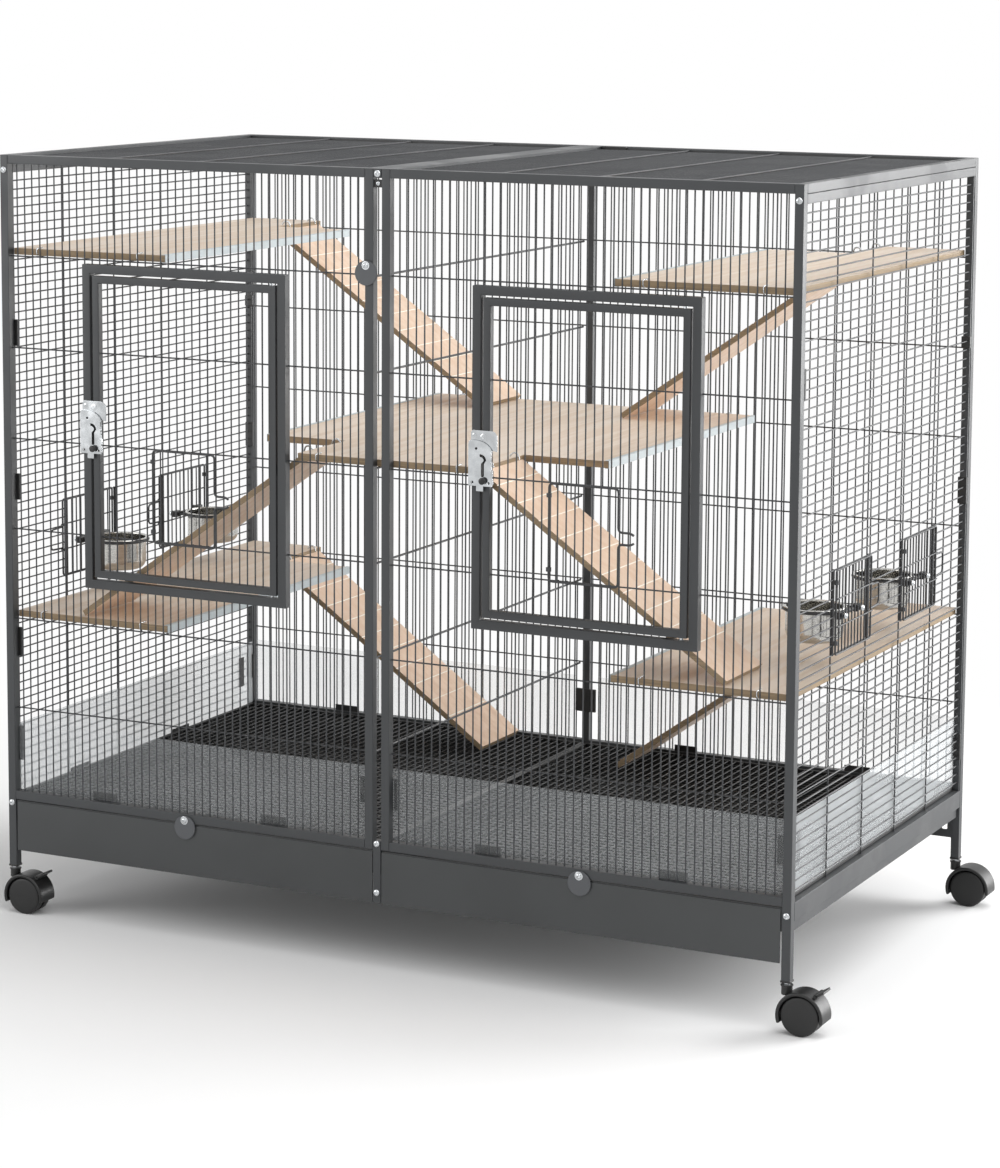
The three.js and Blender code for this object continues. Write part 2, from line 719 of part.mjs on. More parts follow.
// Both modules' floor pieces are laid out for the left and mirrored for the right.
function floorGrille() {
  const near = TUBE + 2 * FIT + STILE;
  const far = CAGE_DEPTH - near;
  const left = GRILLE_START;
  const right = CENTRE_X - FIT;
  const low = FLOOR_TOP + FIT;
  const high = low + GRILLE_BORDER;
  const rim = box(left, right, near, far, low, high);
  const inside = box(
    left + GRILLE_BORDER, right - GRILLE_BORDER, near + GRILLE_BORDER, far - GRILLE_BORDER,
    low - GRILLE_BORDER, high + GRILLE_BORDER,
  );
  const solids = [rim.subtract(inside)];
  for (const x of spaced(left + GRILLE_BORDER, right - GRILLE_BORDER, FINE_SPACING)) {
    solids.push(rod(
      'y', near + GRILLE_BORDER - SINK, far - GRILLE_BORDER + SINK, x, high - GRILLE_WIRE_BELOW_TOP,
    ));
  }
  for (const y of spaced(near + GRILLE_BORDER, far - GRILLE_BORDER, GRILLE_CROSS_SPACING)) {
    solids.push(rod(
      'x', left + GRILLE_BORDER - SINK, right - GRILLE_BORDER + SINK, y, low + GRILLE_CROSS_ABOVE,
    ));
  }
  return join(solids);
}

function tray() {
  const left = TRAY_SIDE_INSET;
  const right = MODULE_WIDTH - TRAY_CENTRE_INSET;
  const front = TRAY_FRONT_SET + TRAY_SHEET;
  const rear = CAGE_DEPTH - TRAY_REAR_GAP;
  const top = TRAY_WALL_TOP + TRAY_SHEET;
  const pan = box(left, right, front - SINK, rear, TRAY_FLOOR_Z, top);
  const inside = box(
    left + TRAY_SHEET, right - TRAY_SHEET, front, rear - TRAY_SHEET,
    TRAY_FLOOR_Z + TRAY_SHEET, FRAME_HEIGHT,
  );
  const plate = box(
    TUBE + TRAY_FRONT_SIDE, MODULE_WIDTH - 2 * FIT, TRAY_FRONT_SET, front,
    TRAY_FLOOR_Z - TRAY_FRONT_DROP, TRAY_FRONT_TOP,
  );
  const lips = [
    box(left - TRAY_LIP, left + SINK, front, rear, TRAY_WALL_TOP, top),
    box(right - SINK, right + TRAY_LIP, front, rear, TRAY_WALL_TOP, top),
  ];
  return join([pan.subtract(inside), plate, ...lips]);
}

// ---- Shelves and ramps ----
function shelfTop(row) {
  return ROWS[row] + WIRE_CORNER + FIT + SHELF;
}

function shelf(x0, x1, row, notches) {
  const near = TUBE + SHELF_MARGIN;
  const far = CAGE_DEPTH - near;
  const high = shelfTop(row);
  const low = high - SHELF;
  let board = box(x0, x1, near, far, low, high);
  for (const notch of notches) {
    board = board.subtract(box(notch.x0, notch.x1, notch.y0, notch.y1, low - SHELF, high + SHELF));
  }
  const solids = [board];
  for (const x of [x0 + TAB_INSET, x1 - TAB_INSET]) {
    for (const atRear of [false, true]) {
      const inNotch = notches.some((notch) => x > notch.x0 && x < notch.x1
        && (atRear ? notch.y1 > far : notch.y0 < near));
      if (!inNotch) {
        solids.push(slab(
          x - TAB_WIDTH / 2, x + TAB_WIDTH / 2, TAB_REACH, near + SINK, low, low + TAB, atRear,
        ));
      }
    }
  }
  return join(solids);
}

function notchAtRear(x0, x1) {
  return { x0, x1, y0: CAGE_DEPTH - TUBE - NOTCH_DEPTH, y1: CAGE_DEPTH };
}

function notchAtFront(x0, x1) {
  return { x0, x1, y0: 0, y1: TUBE + NOTCH_DEPTH };
}

function sideShelf(row) {
  const left = TUBE + SHELF_MARGIN;
  const right = left + SIDE_SHELF_WIDTH;
  return shelf(left, right, row, [notchAtRear(right - NOTCH_LENGTH, right + TUBE)]);
}

function middleShelf() {
  const left = MIDDLE_SHELF_X;
  const right = left + MIDDLE_SHELF_WIDTH;
  return shelf(left, right, 2, [
    notchAtFront(left - TUBE, left + NOTCH_LENGTH),
    notchAtFront(right - NOTCH_LENGTH, right + TUBE),
  ]);
}

// A ramp hangs by two hooks from a notch's edge and runs down to the foot level.
function ramp(edgeX, direction, topZ, footZ, atRear) {
  const start = edgeX + direction * FIT;
  const upper = topZ - RAMP_DROP;
  const fall = upper - footZ;
  const slope = Math.atan2(fall, RAMP_RUN);
  const thickness = RAMP / Math.cos(slope);
  const lowerRun = (upper - thickness - footZ - FIT) / Math.tan(slope);
  const toeX = RAMP * Math.sin(slope);
  const toeZ = RAMP * Math.cos(slope);
  const shape = new THREE.Shape();
  const footX = start + direction * lowerRun;
  shape.moveTo(start, upper);
  shape.lineTo(start, upper - thickness);
  shape.lineTo(footX, footZ + FIT);
  shape.lineTo(footX + direction * toeX, footZ + FIT + toeZ);
  shape.closePath();
  const near = TUBE + SHELF_MARGIN + (NOTCH_DEPTH - RAMP_WIDTH) / 2;
  const edges = [depthAt(near, atRear), depthAt(near + RAMP_WIDTH, atRear)];
  const y0 = Math.min(...edges);
  const y1 = Math.max(...edges);
  const solids = [sheetXZ(shape, y0, y1)];
  for (const y of [y0 + HOOK_FROM_EDGE, y1 - HOOK_FROM_EDGE]) {
    const tip = edgeX - direction * HOOK_REACH;
    const bend = start + direction * HOOK;
    const z0 = topZ + FIT;
    solids.push(box(
      Math.min(tip, bend), Math.max(tip, bend), y - HOOK_WIDTH / 2, y + HOOK_WIDTH / 2, z0, z0 + HOOK,
    ));
    solids.push(box(
      Math.min(start, bend), Math.max(start, bend), y - HOOK_WIDTH / 2, y + HOOK_WIDTH / 2,
      upper - thickness / 2, z0 + HOOK,
    ));
  }
  return join(solids);
}

// ---- Splash guards ----
function endGuard(moduleX, atRear) {
  const near = COARSE_LAYER + WIRE;
  const low = BOTTOM_RAIL_Z + TUBE + FIT;
  return slab(
    moduleX + TUBE + SHELF_MARGIN, moduleX + MODULE_WIDTH - TUBE - SHELF_MARGIN,
    near, near + GUARD_SHEET, low, low + GUARD_HEIGHT, atRear,
  );
}

function sideGuard() {
  const near = TUBE + 2 * FIT + STILE;
  const left = COARSE_LAYER + WIRE;
  const low = FLOOR_TOP + GRILLE_BORDER + 2 * FIT;
  return box(left, left + GUARD_SHEET, near, CAGE_DEPTH - near, low, low + GUARD_HEIGHT);
}

// ---- Lock discs: round plates that hang from one screw and turn out of the way ----
function lockDisc(pivotX, pivotZ) {
  return rod(
    'y', -FIT - DISC_SHEET, -FIT, pivotX, pivotZ - DISC_PIVOT, DISC_RADIUS, ROUND_SIDES,
  );
}

// ---- Casters: a hooded twin-wheel caster, trailing to the right ----
function arcShape(radius, wall) {
  const shape = new THREE.Shape();
  shape.absarc(0, 0, radius, 0, Math.PI, false);
  shape.absarc(0, 0, radius - wall, Math.PI, 0, true);
  shape.closePath();
  return shape;
}

function webShape() {
  const shape = new THREE.Shape();
  shape.absarc(0, 0, HOOD_RADIUS - SINK, 0, Math.PI, false);
  shape.absarc(0, 0, AXLE_BOSS, Math.PI, FULL_TURN, false);
  shape.closePath();
  return shape;
}

function casterHood() {
  const axleZ = WHEEL_RADIUS - CASTER_HEIGHT;
  const shell = sheetXZ(arcShape(HOOD_RADIUS, HOOD_WALL), -HOOD_WIDTH / 2, HOOD_WIDTH / 2, HOOD_STEPS);
  const web = sheetXZ(webShape(), -WEB / 2, WEB / 2, HOOD_STEPS);
  const bore = rod('y', -WEB, WEB, 0, 0, AXLE_RADIUS + FIT, SMALL_ROUND_SIDES);
  const socket = rod(
    'z', -FIT - SOCKET_LENGTH - axleZ, -FIT - axleZ, -CASTER_TRAIL, 0, SOCKET_RADIUS, ROUND_SIDES,
  );
  const stem = rod(
    'z', -FIT - SINK - axleZ, STEM_DEPTH - axleZ, -CASTER_TRAIL, 0, STEM_RADIUS, SMALL_ROUND_SIDES,
  );
  return join([shell, web, socket, stem]).subtract(bore);
}

function casterWheel() {
  const inner = WEB / 2 + FIT;
  const outer = inner + WHEEL_WIDTH;
  const profile = [
    [0, -outer], [WHEEL_RADIUS - WHEEL_BEVEL, -outer], [WHEEL_RADIUS, WHEEL_BEVEL - outer],
    [WHEEL_RADIUS, -inner], [AXLE_RADIUS, -inner], [AXLE_RADIUS, inner],
    [WHEEL_RADIUS, inner], [WHEEL_RADIUS, outer - WHEEL_BEVEL],
    [WHEEL_RADIUS - WHEEL_BEVEL, outer], [0, outer],
  ].map(([radius, y]) => new THREE.Vector2(radius, y));
  return toSolid(new THREE.LatheGeometry(profile, WHEEL_SIDES));
}

function brakeLever() {
  const turn = THREE.MathUtils.degToRad(LEVER_ANGLE);
  const tilt = THREE.MathUtils.degToRad(LEVER_TILT);
  const reach = HOOD_RADIUS + FIT + LEVER_ROOT;
  const rootX = reach * Math.cos(turn);
  const rootZ = reach * Math.sin(turn);
  const tipX = rootX + LEVER_LENGTH * Math.cos(tilt);
  const tipZ = rootZ + LEVER_LENGTH * Math.sin(tilt);
  const half = LEVER_ROOT / 2;
  const shape = new THREE.Shape();
  shape.moveTo(rootX + half * Math.sin(tilt), rootZ - half * Math.cos(tilt));
  shape.lineTo(tipX + half * Math.sin(tilt), tipZ - half * Math.cos(tilt));
  shape.lineTo(tipX - half * Math.sin(tilt), tipZ + half * Math.cos(tilt));
  shape.lineTo(rootX - half * Math.sin(tilt), rootZ + half * Math.cos(tilt));
  shape.closePath();
  const paddle = sheetXZ(shape, -LEVER_WIDTH / 2, LEVER_WIDTH / 2);
  const root = rod('y', -LEVER_WIDTH / 2, LEVER_WIDTH / 2, rootX, rootZ, LEVER_ROOT, SMALL_ROUND_SIDES);
  return paddle.add(root);
}

// ---- Assembly ----
const group = new THREE.Group();

function toGeometry(solid) {
  const mesh = solid.getMesh();
  const geometry = new THREE.BufferGeometry();
  geometry.setAttribute('position', new THREE.BufferAttribute(mesh.vertProperties, 3));
  geometry.setIndex(new THREE.BufferAttribute(mesh.triVerts, 1));
  return geometry;
}

function add(name, solid, finish, moved = (geometry) => geometry) {
  const geometry = moved(toGeometry(solid));
  geometry.computeVertexNormals();
  const mesh = new THREE.Mesh(geometry, new THREE.MeshStandardMaterial(finish));
  mesh.name = name;
  group.add(mesh);
}

// Half a turn about the cage's upright centre line.
function turned(geometry) {
  geometry.rotateZ(Math.PI);
  geometry.translate(CAGE_WIDTH, CAGE_DEPTH, 0);
  return geometry;
}

// Mirror image in the cage's middle plane, with the faces wound the right way.
function mirrored(geometry) {
  geometry.scale(-1, 1, 1);
  geometry.translate(CAGE_WIDTH, 0, 0);
  const index = geometry.index.array;
  for (let i = 0; i < index.length; i += 3) {
    [index[i], index[i + 1]] = [index[i + 1], index[i]];
  }
  return geometry;
}

function unmoved(geometry) {
  return geometry;
}

const MODULES = [
  { side: 'left', x: 0, legOnLeft: true, flip: unmoved },
  { side: 'right', x: RIGHT_MODULE_X, legOnLeft: false, flip: mirrored },
];

for (const { side, x, legOnLeft, flip } of MODULES) {
  add(`front_panel_${side}`, endPanel(x, legOnLeft, false), CHARCOAL);
  const rear = endPanel(x, legOnLeft, true);
  add(`rear_panel_${side}`, legOnLeft ? join([rear, ...tieRods()]) : rear, CHARCOAL);
  add(`roof_panel_${side}`, roofPanel(x), CHARCOAL);
  add(`door_${side}`, door(x), CHARCOAL);
  add(`hatch_${side}`, hatch(x), CHARCOAL);
  add(`latch_plate_${side}`, latchPlate(x), CHROME);
  add(`latch_slide_${side}`, latchSlide(x), CHROME);
  add(`floor_grille_${side}`, floorGrille(), BLACK_METAL, flip);
  add(`tray_${side}`, tray(), TRAY_METAL, flip);
  add(`tray_disc_${side}`, lockDisc(x + MODULE_WIDTH / 2, DISC_Z), GREY_PLASTIC);
  add(`splash_guard_front_${side}`, endGuard(x, false), CLEAR);
  add(`splash_guard_rear_${side}`, endGuard(x, true), CLEAR);
}

add('centre_rail', centreRail(), CHARCOAL);
add('centre_beam', centreBeam(), CHARCOAL);
add('post_disc', lockDisc(MODULE_WIDTH - POST_DISC_INSET, FRAME_HEIGHT - POST_DISC_BELOW_TOP), GREY_PLASTIC);

const SIDES = [
  { side: 'left', placed: unmoved, order: ['front', 'rear'] },
  { side: 'right', placed: turned, order: ['rear', 'front'] },
];

for (const { side, placed, order } of SIDES) {
  add(`side_panel_${side}`, sidePanel(), CHARCOAL, placed);
  add(`splash_guard_side_${side}`, sideGuard(), CLEAR, placed);
  feederPlaces().forEach((place, i) => {
    add(`feeder_door_${side}_${order[i]}`, feederDoor(place), CHARCOAL, placed);
    add(`feeder_bowl_${side}_${order[i]}`, feederBowl(place), STEEL, placed);
  });
}

const SIDE_SHELF_EDGE = TUBE + SHELF_MARGIN + SIDE_SHELF_WIDTH - NOTCH_LENGTH;
const MIDDLE_SHELF_LEFT_EDGE = MIDDLE_SHELF_X + NOTCH_LENGTH;
const MIDDLE_SHELF_RIGHT_EDGE = MIDDLE_SHELF_X + MIDDLE_SHELF_WIDTH - NOTCH_LENGTH;
const UPPER = shelfTop(0);
const MIDDLE = shelfTop(2);
const LOWER = shelfTop(4);
const GROUND = FLOOR_TOP + FIT + GRILLE_BORDER;

add('shelf_upper_left', sideShelf(0), WOOD);
add('shelf_upper_right', sideShelf(0), WOOD, mirrored);
add('shelf_middle', middleShelf(), WOOD);
add('shelf_lower_left', sideShelf(4), WOOD);
add('shelf_lower_right', sideShelf(4), WOOD, mirrored);

add('ramp_upper_left', ramp(SIDE_SHELF_EDGE, 1, UPPER, MIDDLE, true), WOOD);
add('ramp_upper_right', ramp(SIDE_SHELF_EDGE, 1, UPPER, MIDDLE, true), WOOD, mirrored);
add('ramp_middle_left', ramp(MIDDLE_SHELF_LEFT_EDGE, -1, MIDDLE, LOWER, false), WOOD);
add('ramp_middle_right', ramp(MIDDLE_SHELF_RIGHT_EDGE, 1, MIDDLE, LOWER, false), WOOD);
add('ramp_lower_left', ramp(SIDE_SHELF_EDGE, 1, LOWER, GROUND, true), WOOD);
add('ramp_lower_right', ramp(SIDE_SHELF_EDGE, 1, LOWER, GROUND, true), WOOD, mirrored);

const CORNERS = [
  { name: 'front_left', x: TUBE / 2, y: TUBE / 2 },
  { name: 'front_right', x: CAGE_WIDTH - TUBE / 2, y: TUBE / 2 },
  { name: 'rear_left', x: TUBE / 2, y: CAGE_DEPTH - TUBE / 2 },
  { name: 'rear_right', x: CAGE_WIDTH - TUBE / 2, y: CAGE_DEPTH - TUBE / 2 },
];

for (const corner of CORNERS) {
  const onLeg = (geometry) => geometry.translate(
    corner.x + CASTER_TRAIL, corner.y, WHEEL_RADIUS - CASTER_HEIGHT,
  );
  add(`caster_hood_${corner.name}`, casterHood(), BLACK_PLASTIC, onLeg);
  add(`caster_wheel_${corner.name}`, casterWheel(), BLACK_PLASTIC, onLeg);
  if (corner.name.startsWith('front')) {
    add(`brake_lever_${corner.name}`, brakeLever(), BLACK_PLASTIC, onLeg);
  }
}

const bounds = new THREE.Box3().setFromObject(group);
const centre = bounds.getCenter(new THREE.Vector3());
for (const mesh of group.children) {
  mesh.geometry.translate(-centre.x, -centre.y, -bounds.min.z);
}

export default group;
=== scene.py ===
"""Ferret cage: the finished look of a two-module wire cage on casters.

Places are in millimetres from the left front corner of the frame at the lower end of its
legs: X runs to the right, Y to the back, Z up. The object itself is in metres.
"""

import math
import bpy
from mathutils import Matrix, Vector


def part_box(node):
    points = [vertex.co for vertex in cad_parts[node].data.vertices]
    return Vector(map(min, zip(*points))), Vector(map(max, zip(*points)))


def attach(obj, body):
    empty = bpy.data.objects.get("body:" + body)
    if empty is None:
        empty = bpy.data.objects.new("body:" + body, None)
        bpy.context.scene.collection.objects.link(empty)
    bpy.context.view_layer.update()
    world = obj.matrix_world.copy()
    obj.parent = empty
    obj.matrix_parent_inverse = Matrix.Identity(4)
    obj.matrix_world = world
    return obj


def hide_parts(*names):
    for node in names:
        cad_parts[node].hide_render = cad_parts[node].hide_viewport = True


bl_info = {
    "name": "Ferret Cage",
    "version": (1, 0, 0),
    "blender": (4, 5, 0),
    "location": "3D View > Sidebar > Cage",
    "description": "Models and finishes a wire cage with doors, trays, shelves and ramps",
    "category": "Add Mesh",
}

import bpy
from bpy.props import FloatProperty, FloatVectorProperty, IntProperty, PointerProperty
from mathutils import Matrix, Vector

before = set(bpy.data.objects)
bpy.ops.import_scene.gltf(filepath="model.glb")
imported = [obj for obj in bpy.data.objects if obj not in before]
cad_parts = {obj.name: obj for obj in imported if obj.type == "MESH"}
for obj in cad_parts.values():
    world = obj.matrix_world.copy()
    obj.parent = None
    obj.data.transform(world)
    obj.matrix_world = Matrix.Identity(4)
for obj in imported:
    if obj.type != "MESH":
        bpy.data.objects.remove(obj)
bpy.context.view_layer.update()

# ---- Places shared with the frame, in millimetres ----
MM = 0.001
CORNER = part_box("front_panel_left")[0]
WIDTH = 1150
DEPTH = 650
HEIGHT = 977
TUBE = 12
MODULE = 569
RIGHT_X = 581
TOP_RAIL = HEIGHT - TUBE
LOW_RAIL = 95
FIT = 0.3
STILE = 3
SIDE_LOW = 75
FLOOR = 99
BORE = 4.6
BORE_DEPTH = 26
SHORT_FOOT = 24
RUNNER_X = 4
RUNNER_LOW = 61
RUNNER_TOP = 63
REAR_PLATE_LOW = 30
SHEET = 1.5
PAN_LEFT = 12.8
PAN_LOW = RUNNER_TOP + FIT
PAN_HIGH = 93.5
APRON_LOW = 23.5
APRON_HIGH = 92
WIRE_LAYER = 5
COARSE_LAYER = 7.6
ROOF_WIRE = TOP_RAIL + 7
ROD_RADIUS = 1.5
TIE_DROP = 2.4
EYE_INSET = 15
ROWS = [TOP_RAIL - 123.7 * step for step in range(1, 7)]
FINE_BAYS = 46
FINE_PITCH = (MODULE - 2 * TUBE) / FINE_BAYS
DOOR_LEFT = 144
DOOR_RIGHT = 425
DOOR_LOW = 415
DOOR_HIGH = 821
DOOR_TUBE = 10
DOOR_GAP = 3
DOOR_BAYS = 22
DOOR_PITCH = (DOOR_RIGHT - DOOR_LEFT - 2 * DOOR_TUBE) / DOOR_BAYS
PIN_X = DOOR_RIGHT - 9
HATCH_HALF = 4 * DOOR_PITCH
DOOR_MIDDLE = (DOOR_LEFT + DOOR_RIGHT) / 2
SWING_Y = 1.2
SIDE_PITCH = (TOP_RAIL - TUBE - FLOOR) / 72
SIDE_COLUMNS = [137.2, 262.4, 387.6, 512.8]
FEEDER_LOW = FLOOR + 24 * SIDE_PITCH
FEEDER_HIGH = FLOOR + 33 * SIDE_PITCH
FEEDERS = (
    (*SIDE_COLUMNS[:2], "left_front", "right_rear"),
    (*SIDE_COLUMNS[2:], "left_rear", "right_front"),
)
RING_X = 51.2
RING_Z = 429
RING_RADIUS = 40.2
ARM_HALF = 30
BOWL_SHIFT = 5
GRILLE_TOP = FLOOR + FIT + 5
SHELF = 9
TOPS = {"upper": ROWS[0] + 10.5, "middle": ROWS[2] + 10.5, "lower": ROWS[4] + 10.5}
BOARD_INSET = 12.6
SIDE_SHELF = (BOARD_INSET, 250.6)
MIDDLE_SHELF = (331, 835)
NOTCH = 120
NOTCH_DEPTH = 128
RAMP_RUN = 348
RAMP_THICK = 8
RAMP_WIDE = 118
RAMP_EDGE = 17.6
WHEEL_X = 22
WHEEL_Z = -38
WHEEL_RADIUS = 25
HOOD_RADIUS = 31
HOOD_HALF = 16.5
LEVER_ROOT = 34.3
CAP_HALF = 6.7
LEGS = {
    "front_left": (TUBE / 2, TUBE / 2),
    "front_right": (WIDTH - TUBE / 2, TUBE / 2),
    "rear_left": (TUBE / 2, DEPTH - TUBE / 2),
    "rear_right": (WIDTH - TUBE / 2, DEPTH - TUBE / 2),
}
SMOOTH = math.radians(40)
BEND_STEPS = 4
CENTRE = CORNER + Vector((WIDTH / 2, DEPTH / 2, 0)) * MM
HALF_TURN = (
    Matrix.Translation(CENTRE) @ Matrix.Rotation(math.pi, 4, "Z") @ Matrix.Translation(-CENTRE)
)
MIRROR = Matrix.Translation(CENTRE) @ Matrix.Scale(-1, 4, (1, 0, 0)) @ Matrix.Translation(-CENTRE)
MODULES = (("left", 0), ("right", RIGHT_X))
ROOF_SCREWS = ((6, 166), (6, 583), (WIDTH - 6, 125), (WIDTH - 6, 576))
SUNK = 0.9


# ---- Sizes and finishes that a user may change ----
def length(name, description, default):
    return FloatProperty(
        name=name, description=description, default=default, min=0, unit="LENGTH", precision=4
    )


def colour(name, description, default):
    return FloatVectorProperty(
        name=name, description=description, default=default, size=3, min=0, max=1, subtype="COLOR"
    )


class CageSizes(bpy.types.PropertyGroup):
    """Sizes of the cage's small parts."""

    wire: length("Wire", "Diameter of the welded wires", 0.002)
    frame_wire: length("Frame wire", "Diameter of the bent wire frames and handles", 0.003)
    rounding: length("Tube rounding", "Rounding along the edges of the square tubes", 0.0009)
    screw: length("Screw head", "Diameter of the button-head screws", 0.009)
    groove: length("Groove", "Width of the grooves across the ramps", 0.002)
    groove_spacing: length("Groove spacing", "Distance between two grooves", 0.0355)
    strip: length("Edge strip", "Thickness of the strips on the shelf edges", 0.0012)
    wire_sides: IntProperty(
        name="Wire sides", description="Faces round a wire", default=10, min=6, max=24
    )


class CageFinishes(bpy.types.PropertyGroup):
    """Colours of the cage's materials."""

    paint: colour("Frame paint", "Powder coat of the square tubes", (0.026, 0.028, 0.03))
    wire: colour("Wire paint", "Coating of the welded wires", (0.02, 0.021, 0.023))
    grille: colour("Floor grille", "Coating of the floor grilles", (0.006, 0.006, 0.006))
    tray: colour("Tray", "Paint of the pull-out trays", (0.029, 0.031, 0.032))
    disc: colour("Disc", "Paint of the turning discs", (0.06, 0.063, 0.068))
    wood: colour("Board", "Face of the shelves", (0.77, 0.65, 0.535))
    ramp: colour("Ramp", "Face of the ramps", (0.8, 0.615, 0.475))
    core: colour("Board core", "Open edges of the boards", (0.33, 0.24, 0.145))
    # Near-white groove colour: fresh wood, lightened further as painted light against the shade
    # inside the grooves.
    groove: colour("Groove", "Fresh wood in the ramp grooves", (1.0, 0.95, 0.88))
    strip: colour("Edge strip", "Strips on the shelf edges", (0.2, 0.225, 0.235))
    steel: colour("Bowl", "Brushed steel of the bowls", (0.62, 0.61, 0.58))
    chrome: colour("Chrome", "Plated latches, screws and hooks", (0.6, 0.62, 0.635))
    plastic: colour("Plastic", "Casters, knobs and clips", (0.007, 0.007, 0.007))
    clear: colour("Clear sheet", "Tint of the splash guards", (0.86, 0.9, 0.92))
    ground: colour("Floor", "Studio floor", (0.94, 0.94, 0.94))


def sizes():
    return bpy.context.scene.cage_sizes


def finishes():
    return bpy.context.scene.cage_finishes


def wire_radius():
    return sizes().wire / MM / 2


def frame_wire_radius():
    return sizes().frame_wire / MM / 2


# ---- Making shapes ----
def at(x, y, z):
    return CORNER + Vector((x, y, z)) * MM


def deselect():
    if bpy.context.mode != "OBJECT":
        bpy.ops.object.mode_set(mode="OBJECT")
    bpy.ops.object.select_all(action="DESELECT")


def pick(*pieces):
    deselect()
    for piece in pieces:
        piece.select_set(True)
    bpy.context.view_layer.objects.active = pieces[0]


def made():
    """The primitive just added, with its place in its mesh."""
    bpy.ops.object.transform_apply(location=True, rotation=True, scale=True)
    return bpy.context.active_object


def apply_modifier(piece, name, kind, **settings):
    pick(piece)
    modifier = piece.modifiers.new(name, kind)
    for key, value in settings.items():
        setattr(modifier, key, value)
    bpy.ops.object.modifier_apply(modifier=modifier.name)
    return piece


def face_outwards():
    bpy.ops.mesh.select_all(action="SELECT")
    bpy.ops.mesh.normals_make_consistent(inside=False)
    bpy.ops.object.mode_set(mode="OBJECT")


def rod(start, end, radius, sides=0):
    """A round bar between two places."""
    low, high = at(*start), at(*end)
    along = high - low
    deselect()
    bpy.ops.mesh.primitive_cylinder_add(
        vertices=sides or sizes().wire_sides,
        radius=radius * MM,
        depth=along.length,
        location=(low + high) / 2,
        rotation=along.to_track_quat("Z", "Y").to_euler(),
    )
    return made()


def rounded(piece, width, segments=2):
    return apply_modifier(
        piece,
        "rounded_edges",
        "BEVEL",
        width=width * MM,
        segments=segments,
        limit_method="ANGLE",
        angle_limit=math.radians(50),
    )


def bar(low, high, rounding=None, segments=2):
    """A square tube or a flat strip between two opposite corners, with rounded edges."""
    start, end = at(*low), at(*high)
    deselect()
    bpy.ops.mesh.primitive_cube_add(size=1, location=(start + end) / 2, scale=end - start)
    piece = made()
    width = sizes().rounding / MM if rounding is None else rounding
    return rounded(piece, width, segments) if width else piece


def tube_ring(low, high, width, thin_axis):
    """A mitred ring of square tube: a block with its two wide faces inset and bridged."""
    piece = bar(low, high, rounding=0)
    bpy.context.tool_settings.mesh_select_mode = (False, False, True)
    for face in piece.data.polygons:
        face.select = abs(face.normal[thin_axis]) > 0.9
    bpy.ops.object.mode_set(mode="EDIT")
    bpy.ops.mesh.inset(thickness=width * MM, depth=0)
    bpy.ops.mesh.bridge_edge_loops()
    face_outwards()
    return rounded(piece, sizes().rounding / MM)


def row(piece, count, step):
    """A row of copies of a shape, as one mesh."""
    return apply_modifier(
        piece,
        "row",
        "ARRAY",
        count=count,
        use_relative_offset=False,
        use_constant_offset=True,
        constant_offset_displace=Vector(step) * MM,
    )


def join(name, pieces, coat=None):
    """One object of several shapes; those without a finish are given the coat."""
    for piece in pieces:
        if coat and not piece.data.materials:
            piece.data.materials.append(coat)
    pick(*pieces)
    if len(pieces) > 1:
        bpy.ops.object.join()
    whole = bpy.context.active_object
    whole.name = name
    whole.data.name = name
    return whole


def painted(piece, coat):
    piece.data.materials.clear()
    piece.data.materials.append(coat)
    return piece


def plate(points, plane, near, far):
    """A flat outline given its thickness between two depths."""
    deselect()
    bpy.ops.mesh.primitive_circle_add(vertices=len(points), radius=1, fill_type="NGON")
    piece = made()
    for vertex, (across, up) in zip(piece.data.vertices, points):
        vertex.co = at(across, near, up) if plane == "xz" else at(near, across, up)
    depth = Vector((0, far - near, 0)) if plane == "xz" else Vector((far - near, 0, 0))
    bpy.ops.object.mode_set(mode="EDIT")
    bpy.ops.mesh.select_all(action="SELECT")
    bpy.ops.mesh.extrude_region_move(TRANSFORM_OT_translate={"value": depth * MM})
    face_outwards()
    return piece


def turned_shape(profile, steps=24):
    """A turned shape along Z: (radius, height) pairs from its first face to its last."""
    radius, height = profile[0]
    deselect()
    bpy.ops.mesh.primitive_circle_add(
        vertices=steps, radius=radius * MM, fill_type="NGON", location=(0, 0, height * MM)
    )
    piece = made()
    bpy.ops.object.mode_set(mode="EDIT")
    bpy.ops.mesh.select_all(action="SELECT")
    for (last_radius, last_height), (radius, height) in zip(profile, profile[1:]):
        bpy.ops.mesh.extrude_region_move(
            TRANSFORM_OT_translate={"value": (0, 0, (height - last_height) * MM)}
        )
        grow = radius / last_radius
        bpy.ops.transform.resize(
            value=(grow, grow, 1), center_override=(0, 0, height * MM)
        )
    face_outwards()
    return piece


def stood(piece, place, axis=(0, 0, 1)):
    """Turns a shape from +Z to an axis and stands it at a place."""
    turn = Vector(axis).to_track_quat("Z", "Y").to_matrix().to_4x4()
    piece.data.transform(Matrix.Translation(at(*place)) @ turn)
    return piece


